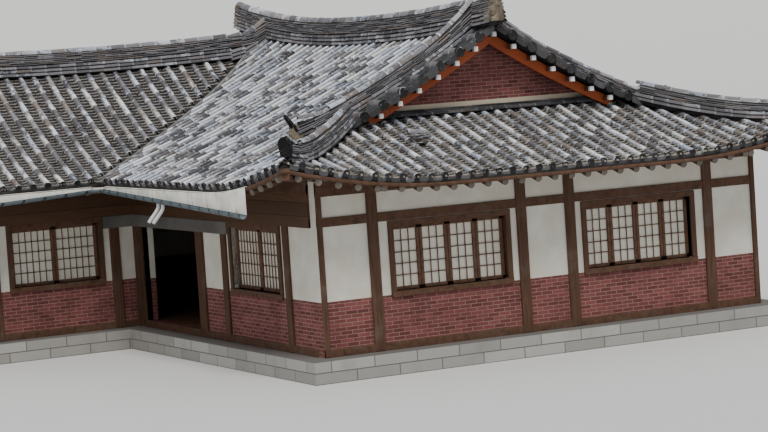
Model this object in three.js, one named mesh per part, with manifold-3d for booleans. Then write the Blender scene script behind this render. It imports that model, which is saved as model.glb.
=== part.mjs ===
// An L-shaped hanok house with a hip-and-gable main roof and a lower wing, in millimetres, +Z up.
// +X runs to the right along the front gable, +Y away along the main ridge. Z = 0 is ground level.
import * as THREE from "three";
import { mergeVertices } from "three/addons/utils/BufferGeometryUtils.js";
import Module from "manifold-3d";

const wasm = await Module();
wasm.setup();

// Plan of the main body
const EAVE_X = 5000; // half width of the main roof at its tile edge
const RIDGE_LENGTH = 9400; // front bargeboard plane to rear bargeboard plane
const SKIRT = 2400; // depth of the tiled skirt below each main gable
const VERGE_OVERHANG = 250; // tiles reach this far past a bargeboard plane
const FRONT_EAVE_Y = -SKIRT;
const REAR_EAVE_Y = RIDGE_LENGTH + SKIRT;

// Plan of the wing
const WING_RIDGE_Y = 8400;
const WING_HALF = REAR_EAVE_Y - WING_RIDGE_Y;
const WING_EAVE_Y = WING_RIDGE_Y - WING_HALF;
const WING_GABLE_X = -8600; // bargeboard plane of the wing's own gable
const WING_SKIRT = 1700;
const WING_EAVE_X = WING_GABLE_X - WING_SKIRT;

// Heights and pitches of the tile beds
const EAVE_TOP = 3060;
const MAIN_RIDGE_TOP = 5160;
const MAIN_PITCH = 0.50;
const WING_RIDGE_TOP = 4970;
const WING_PITCH = 0.70;
const SKIRT_SHARE = 0.85; // a skirt climbs this share of what the long slopes climb over the same run
const MAIN_SAG = (EAVE_TOP - MAIN_RIDGE_TOP + MAIN_PITCH * EAVE_X) / EAVE_X ** 2;
const WING_SAG = (EAVE_TOP - WING_RIDGE_TOP + WING_PITCH * WING_HALF) / WING_HALF ** 2;
const BED_THICKNESS = 150; // tiles and the earth under them

// Curves of the roof: eaves lift at the corners, ridges rise at their ends
const CORNER_LIFT = 450;
const LIFT_ACROSS = 2600;
const LIFT_ALONG = 3000;
const LIFT_POWER_ACROSS = 1.5;
const FRONT_RISE = 190;
const REAR_RISE = 405;
const WING_END_RISE = 260;
const WING_JOIN_RISE = 140;
const RISE_POWER = 2.2;
const RISE_REACH = 3000; // the ridge's rise fades out this far down the slope

// Ridges
const MAIN_RIDGE_WIDTH = 320;
const MAIN_RIDGE_HEIGHT = 400;
const WING_RIDGE_HEIGHT = 360;
const SIDE_RIDGE_WIDTH = 230;
const SIDE_RIDGE_HEIGHT = 270;
const RIDGE_PAST_VERGE = 60;
const WING_RIDGE_END_SHARE = 0.375; // it stops against the side of the main ridge
const RIDGE_SINK = 115;
const SIDE_RIDGE_SINK = 60;
const HIP_SINK = 140; // a hip ridge's upper end reaches down to the lower of its two beds
const DESCENT_INSET = 350; // bargeboard plane to the middle of a descending ridge
const DESCENT_START = 120;
const DESCENT_END = 3500;
const WING_DESCENT_END = 2300;
const HIP_PAST_VERGE = -150;
const END_TILE_RISE = 160;
const END_TILE_FROM = 0.85; // the share of a side ridge's run at which its end begins to rise
const END_TILE_NARROWING = 0.55;

// Section of a ridge, as shares of its half width and its height
const NECK_SHARE = 0.72;
const FOOT_HEIGHT_SHARE = 0.3;
const NECK_HEIGHT_SHARE = 0.42;
const CAP_HEIGHT_SHARE = 0.8;
const CAP_RADIUS_SHARE = 0.8; // of the neck

// Gables
const GABLE_WALL_Y = 250; // bargeboard plane to the outer face of a gable wall
const GABLE_WALL = 150;
const GABLE_SUNK = 60;
const GABLE_CORNER = 100;
const BARGE_REACH = 2300;
const WING_BARGE_REACH = 1400;
const BARGE_THICKNESS = 50;
const BARGE_DEPTH = 205;
const BARGE_SEAT = 0.5;
const BARGE_LAP = 15;
const BLOCK = 60;
const BLOCK_SPACING = 360;
const BLOCK_PROUD = 70;
const BLOCK_DROP = 18;
const BLOCK_REACH = 220;

// Plinth, floor and walls
const PLINTH_TOP = 350;
const PLINTH_MARGIN = 350; // the plinth reaches this far past the walls
const FLOOR_TOP = 450;
const WALL_INSET = 950; // tile edge to outer wall face
const WALL = 200;
const WALL_TOP_GAP = 0.5;

// Windows and the hall's doorway; their sills and heads are heights over the plinth
const WINDOW_SILL = 900;
const WINDOW_HEAD = 1900;
const WINDOW_DEPTH = 90;
const WINDOW_LAP = 30;
const RAIL_DEPTH = 60;
const RAIL_HEIGHT = 110;
const RAIL_LIP = 15;
const RAIL_LAP = 150;
const HALL_FROM_WING = 350;
const HALL_WIDTH = 2400;
const HALL_SILL = FLOOR_TOP - PLINTH_TOP;
const HALL_HEAD = 1950;

// Rafters and the boards on them
const RAFTER_DIAMETER = 110;
const RAFTER_SPACING = 300;
const RAFTER_TIP = 60;
const RAFTER_END = 1500;
const RAFTER_FOOT_SHARE = 0.32; // half width of a rafter's underside, as a share of its diameter
const DECK_THICKNESS = 25;
const DECK_SEAT = 6;
const BOARD_DIP = 1.5; // every second rafter carries the boards this much lower
const EAVE_BOARD_WIDTH = 110;
const EAVE_BOARD_HEIGHT = 60;
const EAVE_BOARD_INSET = 25;
const EAVE_BOARD_SEAT = 14;
const HIP_RAFTER_WIDTH = 140;
const HIP_RAFTER_HEIGHT = 130;
const HIP_RAFTER_TIP = 60;
const HIP_RAFTER_END = 1420;
const HIP_RAFTER_SEAT = 45;
const CORNER_ZONE = RAFTER_END + RAFTER_TIP + RAFTER_DIAMETER;
const BOARD_CORNER = EAVE_BOARD_INSET + EAVE_BOARD_WIDTH; // a strip starts this far from its corner
const BOARD_MITRE = 2 * BOARD_CORNER;
const STRIP_SLANT = 12; // a strip's ends are cut at a slant
const STRIP_LAP = 40; // a strip reaches this far past the first rafter

// Aprons, gutters and spouts
const FOOT_AT_CORNER = 2885;
const LEFT_FOOT = 2620;
const WING_FOOT = 2700;
const LEFT_GUTTER_END = -1000;
const WING_GUTTER_END = -8900;
const APRON_CORNER = 160;
const GUTTER_CORNER = 160;
const APRON_INSET = 6;
const APRON_THICKNESS = 3;
const APRON_REACH = 5; // an apron reaches this far up into the bed, and is cut back to it
const GUTTER_RADIUS = 62;
const GUTTER_SHEET = 3;
const GUTTER_INSET = APRON_INSET + APRON_THICKNESS - GUTTER_RADIUS;
const SPOUT_RADIUS = 30;
const SPOUT_SEAT = 2.5; // the outlet's flat top just clears the gutter, which falls past it
const SPOUT_DROP = 60;
const SPOUT_RUN = [-120, 150, -240];
const NEAR_SPOUT_Y = 2140;
const SPOUT_SPACING = 190;

// Clearances
const GAP = 0.3;
const HIP_GAP = 0.45; // along X or Y, about 0.3 square to a hip
const VALLEY_GAP = 0.6;
const SMALLEST_EDGE = 0.04; // slivers that a cut leaves are closed up to this size
const FLAT_HEIGHT = 0.0001;

const colours = {
  tile: 0x4d5054,
  ridge: 0x3f4144,
  brick: 0x5d2c22,
  board: 0xa4411f,
  timber: 0x5a3a28,
  stone: 0x8d8a84,
  apron: 0xe0dcc8,
  gutter: 0x8fa2b5,
  pipe: 0xcfd3d6,
  paper: 0xe8e2d0,
  wall: 0x7a3b2c,
};
const dull = { roughness: 0.9, metalness: 0 };
const sheet = { roughness: 0.6, metalness: 0.2 };

const house = new THREE.Group();
const makers = new Map();

function material(colour, finish) {
  return new THREE.MeshStandardMaterial({ color: colours[colour], ...finish });
}

function signedVolume(geometry) {
  const place = geometry.getAttribute("position");
  const index = geometry.getIndex();
  const [a, b, c] = [new THREE.Vector3(), new THREE.Vector3(), new THREE.Vector3()];
  let volume = 0;
  for (let i = 0; i < index.count; i += 3) {
    a.fromBufferAttribute(place, index.getX(i));
    b.fromBufferAttribute(place, index.getX(i + 1));
    c.fromBufferAttribute(place, index.getX(i + 2));
    volume += a.dot(b.cross(c)) / 6;
  }
  return volume;
}

// Moves every vertex of a closed three.js geometry, welds it and turns its faces outwards
function shaped(geometry, move = (point) => point) {
  const bare = new THREE.BufferGeometry();
  bare.setAttribute("position", geometry.getAttribute("position").clone());
  if (geometry.getIndex()) bare.setIndex(geometry.getIndex().clone());
  const welded = mergeVertices(bare, 1e-4);
  const place = welded.getAttribute("position");
  const point = new THREE.Vector3();
  for (let i = 0; i < place.count; i += 1) {
    const moved = move(point.fromBufferAttribute(place, i).clone());
    place.setXYZ(i, moved.x, moved.y, moved.z);
  }
  if (signedVolume(welded) < 0) {
    const index = welded.getIndex();
    for (let i = 0; i < index.count; i += 3) {
      const second = index.getX(i + 1);
      index.setX(i + 1, index.getX(i + 2));
      index.setX(i + 2, second);
    }
  }
  return welded;
}

function toSolid(geometry) {
  return new wasm.Manifold(new wasm.Mesh({
    numProp: 3,
    vertProperties: new Float32Array(geometry.getAttribute("position").array),
    triVerts: new Uint32Array(geometry.getIndex().array),
  }));
}

function toGeometry(solid) {
  const mesh = solid.simplify(SMALLEST_EDGE).getMesh();
  const geometry = new THREE.BufferGeometry();
  geometry.setAttribute("position", new THREE.BufferAttribute(new Float32Array(mesh.vertProperties), 3));
  const triangles = [];
  for (let i = 0; i < mesh.triVerts.length; i += 3) triangles.push([...mesh.triVerts.slice(i, i + 3)]);
  geometry.setIndex(withoutFlatTriangles(triangles, geometry.getAttribute("position")).flat());
  return geometry;
}

// A cut can leave a flat triangle, with one corner on the edge between the other two. Its neighbour
// across that edge is split at the corner, and the flat triangle is dropped.
function withoutFlatTriangles(triangles, place) {
  const corner = (index) => new THREE.Vector3().fromBufferAttribute(place, index);
  const span = ([from, to]) => corner(from).distanceTo(corner(to));
  const longestEdgeFirst = ([a, b, c]) =>
    [[a, b, c], [b, c, a], [c, a, b]].sort((p, q) => span(q) - span(p))[0];
  const isFlat = (triangle) => {
    const doubleArea = 2 * new THREE.Triangle(...triangle.map(corner)).getArea();
    return doubleArea < FLAT_HEIGHT * span(longestEdgeFirst(triangle));
  };
  for (let index = triangles.findIndex(isFlat); index >= 0; index = triangles.findIndex(isFlat)) {
    const [from, to, middle] = longestEdgeFirst(triangles[index]);
    const other = triangles.findIndex((triangle) => triangle.some((at, turn) =>
      at === to && triangle[(turn + 1) % 3] === from));
    const far = triangles[other].find((at) => at !== from && at !== to);
    triangles[other] = [to, middle, far];
    triangles[index] = [middle, from, far];
  }
  return triangles;
}

function joined(geometries) {
  return toGeometry(geometries.map(toSolid).reduce((all, next) => all.add(next)));
}

// Adds a piece. make(margin) gives its shape, or with a margin a slightly larger one that cuts its
// neighbours clear
function add(name, make, colour, neighbours = [], finish = dull) {
  let geometry = make(0);
  if (neighbours.length > 0) {
    const cutter = neighbours.map((neighbour) => toSolid(makers.get(neighbour)(GAP)))
      .reduce((all, next) => all.add(next));
    geometry = toGeometry(toSolid(geometry).subtract(cutter));
  }
  const mesh = new THREE.Mesh(geometry, material(colour, finish));
  mesh.name = name;
  house.add(mesh);
  makers.set(name, make);
}

function box(x0, x1, y0, y1, z0, z1) {
  const geometry = new THREE.BoxGeometry(x1 - x0, y1 - y0, z1 - z0);
  geometry.translate((x0 + x1) / 2, (y0 + y1) / 2, (z0 + z1) / 2);
  return shaped(geometry);
}

// Heights of the tile beds
const mainProfile = (u) => MAIN_RIDGE_TOP - MAIN_PITCH * u + MAIN_SAG * u * u;
const wingProfile = (u) => WING_RIDGE_TOP - WING_PITCH * u + WING_SAG * u * u;

function cornerLift(across, along) {
  const slopeShare = Math.max(0, 1 - across / LIFT_ACROSS) ** LIFT_POWER_ACROSS;
  const eaveShare = Math.max(0, 1 - along / LIFT_ALONG) ** 2;
  return CORNER_LIFT * slopeShare * eaveShare;
}

function mainRise(u, y) {
  const t = y / RIDGE_LENGTH;
  const front = FRONT_RISE * Math.max(0, 1 - 2 * t) ** RISE_POWER;
  const rear = REAR_RISE * Math.max(0, 2 * t - 1) ** RISE_POWER;
  return (front + rear) * Math.max(0, 1 - u / RISE_REACH) ** 2;
}

function wingRise(u, x) {
  const t = (x - WING_GABLE_X) / (0 - WING_GABLE_X);
  const end = WING_END_RISE * Math.max(0, 1 - 2 * t) ** RISE_POWER;
  const join = WING_JOIN_RISE * Math.max(0, 2 * t - 1) ** RISE_POWER;
  return (end + join) * Math.max(0, 1 - u / RISE_REACH) ** 2;
}

function mainTop(x, y, withRearCorner) {
  const u = Math.abs(x);
  const frontCorner = cornerLift(EAVE_X - u, y - FRONT_EAVE_Y);
  const rearCorner = withRearCorner ? cornerLift(EAVE_X - u, REAR_EAVE_Y - y) : 0;
  return mainProfile(u) + mainRise(u, y) + frontCorner + rearCorner;
}

function wingTop(x, y) {
  const u = Math.abs(y - WING_RIDGE_Y);
  return wingProfile(u) + wingRise(u, x) + cornerLift(WING_HALF - u, x - WING_EAVE_X);
}

const mainLeftTop = (x, y) => mainTop(x, y, false);
const mainRightTop = (x, y) => mainTop(x, y, true);

function skirtProfile(profile, half, fromEave) {
  return EAVE_TOP + (profile(half - fromEave) - EAVE_TOP) * SKIRT_SHARE;
}

function skirtTop(x, fromEave, cornersAtBothEnds) {
  const right = cornerLift(fromEave, EAVE_X - x);
  const left = cornersAtBothEnds ? cornerLift(fromEave, EAVE_X + x) : 0;
  return skirtProfile(mainProfile, EAVE_X, fromEave) + left + right;
}

const frontSkirtTop = (x, y) => skirtTop(x, y - FRONT_EAVE_Y, true);
const rearSkirtTop = (x, y) => skirtTop(x, REAR_EAVE_Y - y, false);

function wingSkirtTop(x, y) {
  const fromEave = x - WING_EAVE_X;
  const along = WING_HALF - Math.abs(y - WING_RIDGE_Y);
  return skirtProfile(wingProfile, WING_HALF, fromEave) + cornerLift(fromEave, along);
}

// Where the wing's bed meets the main left bed, at a given y: the distance from the main ridge
function valleyDistance(y) {
  let low = 0;
  let high = EAVE_X;
  for (let step = 0; step < 50; step += 1) {
    const middle = (low + high) / 2;
    if (mainLeftTop(-middle, y) > wingTop(-middle, y)) low = middle;
    else high = middle;
  }
  return (low + high) / 2;
}

// A roof bed: rows run up the slope, columns along it. Every row gives its two ends in plan.
function bed(rows, columns, top, margin) {
  const geometry = new THREE.BoxGeometry(1, 1, 1, columns, rows.length - 1, 1);
  const last = rows.length - 1;
  return shaped(geometry, (point) => {
    const index = Math.round((point.y + 0.5) * last);
    const { from, to } = rows[index];
    const row = new THREE.Vector2(to[0] - from[0], to[1] - from[1]);
    const x = from[0] + row.x * (point.x + 0.5);
    const y = from[1] + row.y * (point.x + 0.5);
    const z = top(x, y) + (point.z < 0 ? -BED_THICKNESS - 2 * margin : 2 * margin);
    const outward = row.clone().setLength(4 * margin * point.x);
    if (index === 0 || index === last) {
      const inner = rows[index === 0 ? 1 : last - 1];
      if (Math.abs(row.x) > Math.abs(row.y)) outward.y += Math.sign(from[1] - inner.from[1]) * 2 * margin;
      else outward.x += Math.sign(from[0] - inner.from[0]) * 2 * margin;
    }
    return new THREE.Vector3(x + outward.x, y + outward.y, z);
  });
}

function steps(from, to, count) {
  return Array.from({ length: count + 1 }, (_, i) => from + ((to - from) * i) / count);
}

// Rows shared by the main left bed and the wing's front bed, so that they meet along one valley
const frontKink = SKIRT - VERGE_OVERHANG;
const wingKink = WING_SKIRT - VERGE_OVERHANG;
const valleyRows = [
  ...steps(WING_EAVE_Y, WING_EAVE_Y + wingKink, 4),
  ...steps(WING_EAVE_Y + wingKink, WING_RIDGE_Y, 6).slice(1),
];
const valley = valleyRows.map((y) => [-valleyDistance(y), y]);
const rearVerge = RIDGE_LENGTH + VERGE_OVERHANG;
const rearStepX = -valleyDistance(rearVerge); // where the wing's rear slope meets the rear skirt

function lowerBoundary(fromEave, eaveY, kink, direction) {
  return eaveY + direction * Math.min(fromEave, kink);
}

function mainLeftBed(margin) {
  const rows = [];
  valley.forEach(([x, y], index) => {
    rows.push({ x, to: y });
    const next = valley[index + 1];
    const kinkX = -EAVE_X + frontKink;
    if (next && x < kinkX && next[0] > kinkX) {
      const share = (kinkX - x) / (next[0] - x);
      rows.push({ x: kinkX, to: y + (next[1] - y) * share });
    }
  });
  rows.push({ x: -GAP / 2, to: WING_RIDGE_Y });
  const plan = rows.map(({ x, to }) => ({
    from: [x, lowerBoundary(EAVE_X + x, FRONT_EAVE_Y, frontKink, 1)],
    to: [x, to],
  }));
  return bed(plan, 10, mainLeftTop, margin);
}

function mainLeftRearBed(margin) {
  const ys = steps(WING_RIDGE_Y + GAP, rearVerge, 4);
  const rows = ys.map((y) => ({ from: [-valleyDistance(y) + VALLEY_GAP, y], to: [-GAP / 2, y] }));
  return bed(rows, 5, mainLeftTop, margin);
}

function mainRightBed(margin) {
  const rows = [...steps(EAVE_X, EAVE_X - frontKink, 5), ...steps(EAVE_X - frontKink, GAP / 2, 5).slice(1)];
  const plan = rows.map((x) => ({
    from: [x, lowerBoundary(EAVE_X - x, FRONT_EAVE_Y, frontKink, 1)],
    to: [x, lowerBoundary(EAVE_X - x, REAR_EAVE_Y, frontKink, -1)],
  }));
  return bed(plan, 14, mainRightTop, margin);
}

function frontSkirtBed(margin) {
  const rows = steps(0, SKIRT + GABLE_WALL_Y + 2 * GABLE_WALL, 7).map((fromEave) => ({
    from: [-(EAVE_X - fromEave - HIP_GAP), FRONT_EAVE_Y + fromEave],
    to: [EAVE_X - fromEave - HIP_GAP, FRONT_EAVE_Y + fromEave],
  }));
  return bed(rows, 10, frontSkirtTop, margin);
}

function rearSkirtBed(margin) {
  const rows = steps(0, SKIRT + GABLE_WALL_Y + 2 * GABLE_WALL, 7).map((fromEave) => ({
    from: [rearStepX + GAP, REAR_EAVE_Y - fromEave],
    to: [EAVE_X - fromEave - HIP_GAP, REAR_EAVE_Y - fromEave],
  }));
  return bed(rows, 8, rearSkirtTop, margin);
}

function wingFrontBed(margin) {
  const plan = valley.map(([x, y]) => ({
    from: [lowerBoundary(y - WING_EAVE_Y, WING_EAVE_X, wingKink, 1), y],
    to: [x - VALLEY_GAP, y],
  }));
  return bed(plan, 8, wingTop, margin);
}

function wingRearBed(margin) {
  const ys = [
    ...steps(REAR_EAVE_Y, REAR_EAVE_Y - wingKink, 4),
    ...steps(REAR_EAVE_Y - wingKink, rearVerge, 2).slice(1),
    ...steps(rearVerge, WING_RIDGE_Y + GAP, 4).slice(1),
  ];
  const plan = ys.map((y) => ({
    from: [lowerBoundary(REAR_EAVE_Y - y, WING_EAVE_X, wingKink, 1), y],
    to: [y > rearVerge ? rearStepX : -valleyDistance(y), y],
  }));
  return bed(plan, 8, wingTop, margin);
}

function wingEndSkirtBed(margin) {
  const rows = steps(0, WING_SKIRT + GABLE_WALL_Y + 2 * GABLE_WALL, 6).map((fromEave) => ({
    from: [WING_EAVE_X + fromEave, WING_RIDGE_Y - (WING_HALF - fromEave - HIP_GAP)],
    to: [WING_EAVE_X + fromEave, WING_RIDGE_Y + (WING_HALF - fromEave - HIP_GAP)],
  }));
  return bed(rows, 8, wingSkirtTop, margin);
}

// A ridge: a stacked section with a round cap, swept along points that lie on the tile beds
function ridgeSection(width, height) {
  const half = width / 2;
  const neck = half * NECK_SHARE;
  const outline = new THREE.Shape();
  outline.moveTo(-half, 0);
  outline.lineTo(0, 0);
  outline.lineTo(half, 0);
  outline.lineTo(half, height * FOOT_HEIGHT_SHARE);
  outline.lineTo(neck, height * NECK_HEIGHT_SHARE);
  outline.lineTo(neck, height * CAP_HEIGHT_SHARE);
  outline.absarc(0, height * CAP_HEIGHT_SHARE, neck * CAP_RADIUS_SHARE, 0, Math.PI, false);
  outline.lineTo(-neck, height * CAP_HEIGHT_SHARE);
  outline.lineTo(-neck, height * NECK_HEIGHT_SHARE);
  outline.lineTo(-half, height * FOOT_HEIGHT_SHARE);
  outline.closePath();
  return outline;
}

// Sweeps the section along path(t), t from 0 to 1; the last part rises and narrows to an end tile
function ridge(path, count, width, height, endRise, sinkStart, sinkEnd, margin) {
  const section = ridgeSection(width + 2 * margin, height + margin);
  const swept = { depth: 1, steps: count, bevelEnabled: false, curveSegments: 3 };
  return shaped(new THREE.ExtrudeGeometry(section, swept), (point) => {
    const t = point.z;
    const here = path(t);
    const along = new THREE.Vector3().subVectors(path(Math.min(1, t + 0.01)), path(Math.max(0, t - 0.01)));
    along.setZ(0).normalize();
    const end = endRise > 0 ? Math.max(0, (t - END_TILE_FROM) / (1 - END_TILE_FROM)) ** 2 : 0;
    const across = point.x * (1 - END_TILE_NARROWING * end);
    const sink = sinkStart + (sinkEnd - sinkStart) * t;
    const lifted = point.y === 0 ? -sink - margin : point.y + end * endRise * (point.y / height);
    return new THREE.Vector3(here.x + along.y * across, here.y - along.x * across, here.z + lifted);
  });
}

// A straight run in plan from one point to another, lying on a bed
function run(from, to, top) {
  return (t) => {
    const x = from[0] + (to[0] - from[0]) * t;
    const y = from[1] + (to[1] - from[1]) * t;
    return new THREE.Vector3(x, y, top(x, y));
  };
}

// Rafters under one eave with the boards that lie on them, and a strip of eave board at each corner.
// side.place(along, fromEave) gives x and y; side.under(along, fromEave) the underside of the bed.
function rafters(side) {
  const count = Math.floor((side.last - side.first) / RAFTER_SPACING);
  const start = (side.first + side.last - count * RAFTER_SPACING) / 2;
  const outline = new THREE.Shape();
  outline.moveTo(side.first - RAFTER_DIAMETER, 0);
  outline.lineTo(side.first - RAFTER_DIAMETER, -DECK_THICKNESS);
  for (let i = 0; i <= count; i += 1) {
    const along = start + i * RAFTER_SPACING;
    outline.lineTo(along - RAFTER_DIAMETER / 2, -DECK_THICKNESS);
    outline.lineTo(along - RAFTER_DIAMETER * RAFTER_FOOT_SHARE, -DECK_THICKNESS - RAFTER_DIAMETER);
    outline.lineTo(along + RAFTER_DIAMETER * RAFTER_FOOT_SHARE, -DECK_THICKNESS - RAFTER_DIAMETER);
    outline.lineTo(along + RAFTER_DIAMETER / 2, -DECK_THICKNESS);
  }
  outline.lineTo(side.last + RAFTER_DIAMETER, -DECK_THICKNESS);
  outline.lineTo(side.last + RAFTER_DIAMETER, 0);
  for (let i = count; i >= 0; i -= 1) {
    outline.lineTo(start + i * RAFTER_SPACING, i % 2 === 0 ? 0 : -BOARD_DIP);
  }
  outline.closePath();
  const section = new THREE.ExtrudeGeometry(outline, { depth: 1, steps: 1, bevelEnabled: false });
  const parts = [shaped(section, (point) => {
    const fromEave = RAFTER_TIP + point.z * (RAFTER_END - RAFTER_TIP);
    const [x, y] = side.place(point.x, fromEave);
    return new THREE.Vector3(x, y, deckTop(side, point.x, point.z) + point.y);
  })];
  for (const [from, to] of side.strips) {
    const strip = new THREE.BoxGeometry(1, 1, 1, 5, 1, 1);
    parts.push(shaped(strip, (point) => {
      const along = from + (point.x + 0.5) * (to - from) + point.x * STRIP_SLANT * (point.y - 2 * point.z);
      const fromEave = EAVE_BOARD_INSET + (point.y + 0.5) * EAVE_BOARD_WIDTH;
      const [x, y] = side.place(along, fromEave);
      const top = side.under(along, fromEave) - EAVE_BOARD_SEAT;
      return new THREE.Vector3(x, y, top - (point.z < 0 ? EAVE_BOARD_HEIGHT : 0));
    }));
  }
  for (const corner of side.corners) parts.push(hipRafter(corner));
  return joined(parts);
}

// The straight line that the boards follow, low enough to clear the sag of the bed above them
function deckTop(side, along, share) {
  const tip = side.under(along, RAFTER_TIP);
  const end = side.under(along, RAFTER_END);
  let excess = 0;
  for (const part of steps(0, 1, 12)) {
    const fromEave = RAFTER_TIP + part * (RAFTER_END - RAFTER_TIP);
    excess = Math.max(excess, tip + (end - tip) * part - side.under(along, fromEave));
  }
  return tip + (end - tip) * share - excess - DECK_SEAT;
}

// The hip rafter runs under the hip from inside the wall corner to the corner of the eaves
function hipRafter({ eaveX, eaveY, inX, inY, top }) {
  const timber = new THREE.BoxGeometry(1, 1, 1, 1, 8, 1);
  return shaped(timber, (point) => {
    const fromEave = HIP_RAFTER_TIP + (point.y + 0.5) * (HIP_RAFTER_END - HIP_RAFTER_TIP);
    const across = point.x * HIP_RAFTER_WIDTH;
    const x = eaveX + inX * fromEave + (across * inY) / Math.SQRT2;
    const y = eaveY + inY * fromEave - (across * inX) / Math.SQRT2;
    const middle = top(eaveX + inX * fromEave, eaveY + inY * fromEave);
    const under = middle - BED_THICKNESS - HIP_RAFTER_SEAT;
    return new THREE.Vector3(x, y, under - (point.z < 0 ? HIP_RAFTER_HEIGHT : 0));
  });
}

// A wall: its outline seen from outside, with openings cut through; along starts at its left end there
function wall(length, height, openings, place, outline = null) {
  const corners = outline ?? [[0, 0], [length, 0], [length, height], [0, height]];
  const shape = new THREE.Shape(corners.map(([along, up]) => new THREE.Vector2(along, up)));
  const onWall = (point) => place(point.x, point.z, point.y + PLINTH_TOP);
  const slab = shaped(new THREE.ExtrudeGeometry(shape, { depth: WALL, bevelEnabled: false }), onWall);
  const holes = openings.map(({ from, width, sill, head }) => {
    const hole = new THREE.BoxGeometry(width, head - sill, 3 * WALL);
    return toSolid(shaped(hole.translate(from + width / 2, (sill + head) / 2, WALL / 2), onWall));
  });
  return toGeometry(holes.reduce((solid, hole) => solid.subtract(hole), toSolid(slab)));
}

// Window panels of one wall, joined by the inner rail that carries them
function windows(openings, place) {
  const parts = openings.map(({ from, width, sill, head }) => shaped(new THREE.BoxGeometry(1, 1, 1), (point) =>
    place(from + GAP + (point.x + 0.5) * (width - 2 * GAP),
      point.y < 0 ? WALL - WINDOW_DEPTH : WALL + WINDOW_LAP,
      PLINTH_TOP + (point.z < 0 ? sill + GAP : head - GAP))));
  const first = Math.min(...openings.map(({ from }) => from));
  const last = Math.max(...openings.map(({ from, width }) => from + width));
  const sill = Math.min(...openings.map((opening) => opening.sill));
  parts.push(shaped(new THREE.BoxGeometry(1, 1, 1), (point) =>
    place(point.x < 0 ? first - RAIL_LAP : last + RAIL_LAP,
      point.y < 0 ? WALL + GAP : WALL + RAIL_DEPTH,
      PLINTH_TOP + sill + (point.z < 0 ? -RAIL_HEIGHT : RAIL_LIP))));
  return joined(parts);
}

// A gable: infill cut to the beds it stands between. along is measured across the gable.
function gable(half, apexZ, footZ, place, thickness) {
  const shape = new THREE.Shape();
  shape.moveTo(-half, footZ);
  shape.lineTo(half, footZ);
  shape.lineTo(0, apexZ);
  shape.closePath();
  const slab = new THREE.ExtrudeGeometry(shape, { depth: thickness, bevelEnabled: false });
  return shaped(slab, (point) => place(point.x, point.z, point.y));
}

// Bargeboards of one gable: two boards that meet at the apex, with a row of verge blocks on top.
// under(u) is the underside of the bed at the distance u from the ridge line
function bargeboards(reach, under, place) {
  const parts = [];
  for (const side of [-1, 1]) {
    const board = new THREE.BoxGeometry(1, 1, 1, 6, 1, 1);
    parts.push(shaped(board, (point) => {
      const u = (point.x + 0.5) * reach;
      const top = under(u) - BLOCK - BARGE_SEAT + BARGE_LAP;
      return place(side * u, (point.y + 0.5) * BARGE_THICKNESS, top - (point.z < 0 ? BARGE_DEPTH : 0));
    }));
  }
  const count = Math.floor(reach / BLOCK_SPACING);
  for (let i = -count; i <= count; i += 1) {
    const middle = i * BLOCK_SPACING;
    const block = new THREE.BoxGeometry(BLOCK, 1, BLOCK);
    parts.push(shaped(block, (point) => place(middle + point.x,
      point.y < 0 ? -BLOCK_PROUD : BLOCK_REACH,
      under(Math.abs(middle)) - BARGE_SEAT - BLOCK_DROP - BLOCK / 2 + point.z)));
  }
  return joined(parts);
}

// A sheet apron under the tile edge: its top follows the eave and its foot falls with the gutter
function apron(side, first, last, footFirst, footLast) {
  const strip = new THREE.BoxGeometry(1, 1, 1, 12, 1, 1);
  return shaped(strip, (point) => {
    const share = point.x + 0.5;
    const along = first + share * (last - first);
    const fromEave = APRON_INSET + (point.y + 0.5) * APRON_THICKNESS;
    const [x, y] = side.place(along, fromEave);
    const foot = footFirst + (footLast - footFirst) * share;
    const z = point.z > 0 ? side.under(along, fromEave) + APRON_REACH : foot;
    return new THREE.Vector3(x, y, z);
  });
}

// A half-round gutter hung from the foot of an apron
function gutter(side, first, last, footFirst, footLast) {
  const section = new THREE.Shape();
  section.absarc(0, 0, GUTTER_RADIUS, Math.PI, 2 * Math.PI, false);
  section.lineTo(GUTTER_RADIUS - GUTTER_SHEET, 0);
  section.absarc(0, 0, GUTTER_RADIUS - GUTTER_SHEET, 2 * Math.PI, Math.PI, true);
  section.closePath();
  const swept = { depth: 1, steps: 1, bevelEnabled: false, curveSegments: 6 };
  return shaped(new THREE.ExtrudeGeometry(section, swept), (point) => {
    const along = first + point.z * (last - first);
    const [x, y] = side.place(along, GUTTER_INSET - point.x);
    return new THREE.Vector3(x, y, footFirst + (footLast - footFirst) * point.z + point.y - GAP);
  });
}

// Beds
add("main_left_slope", mainLeftBed, "tile");
add("main_right_slope", mainRightBed, "tile");
add("wing_front_slope", wingFrontBed, "tile");
add("wing_rear_slope", wingRearBed, "tile");
add("main_left_rear_slope", mainLeftRearBed, "tile");
add("front_skirt", frontSkirtBed, "tile", ["main_left_slope", "main_right_slope"]);
add("rear_skirt", rearSkirtBed, "tile", ["main_right_slope", "main_left_rear_slope", "wing_rear_slope"]);
add("wing_end_skirt", wingEndSkirtBed, "tile", ["wing_front_slope", "wing_rear_slope"]);

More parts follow.
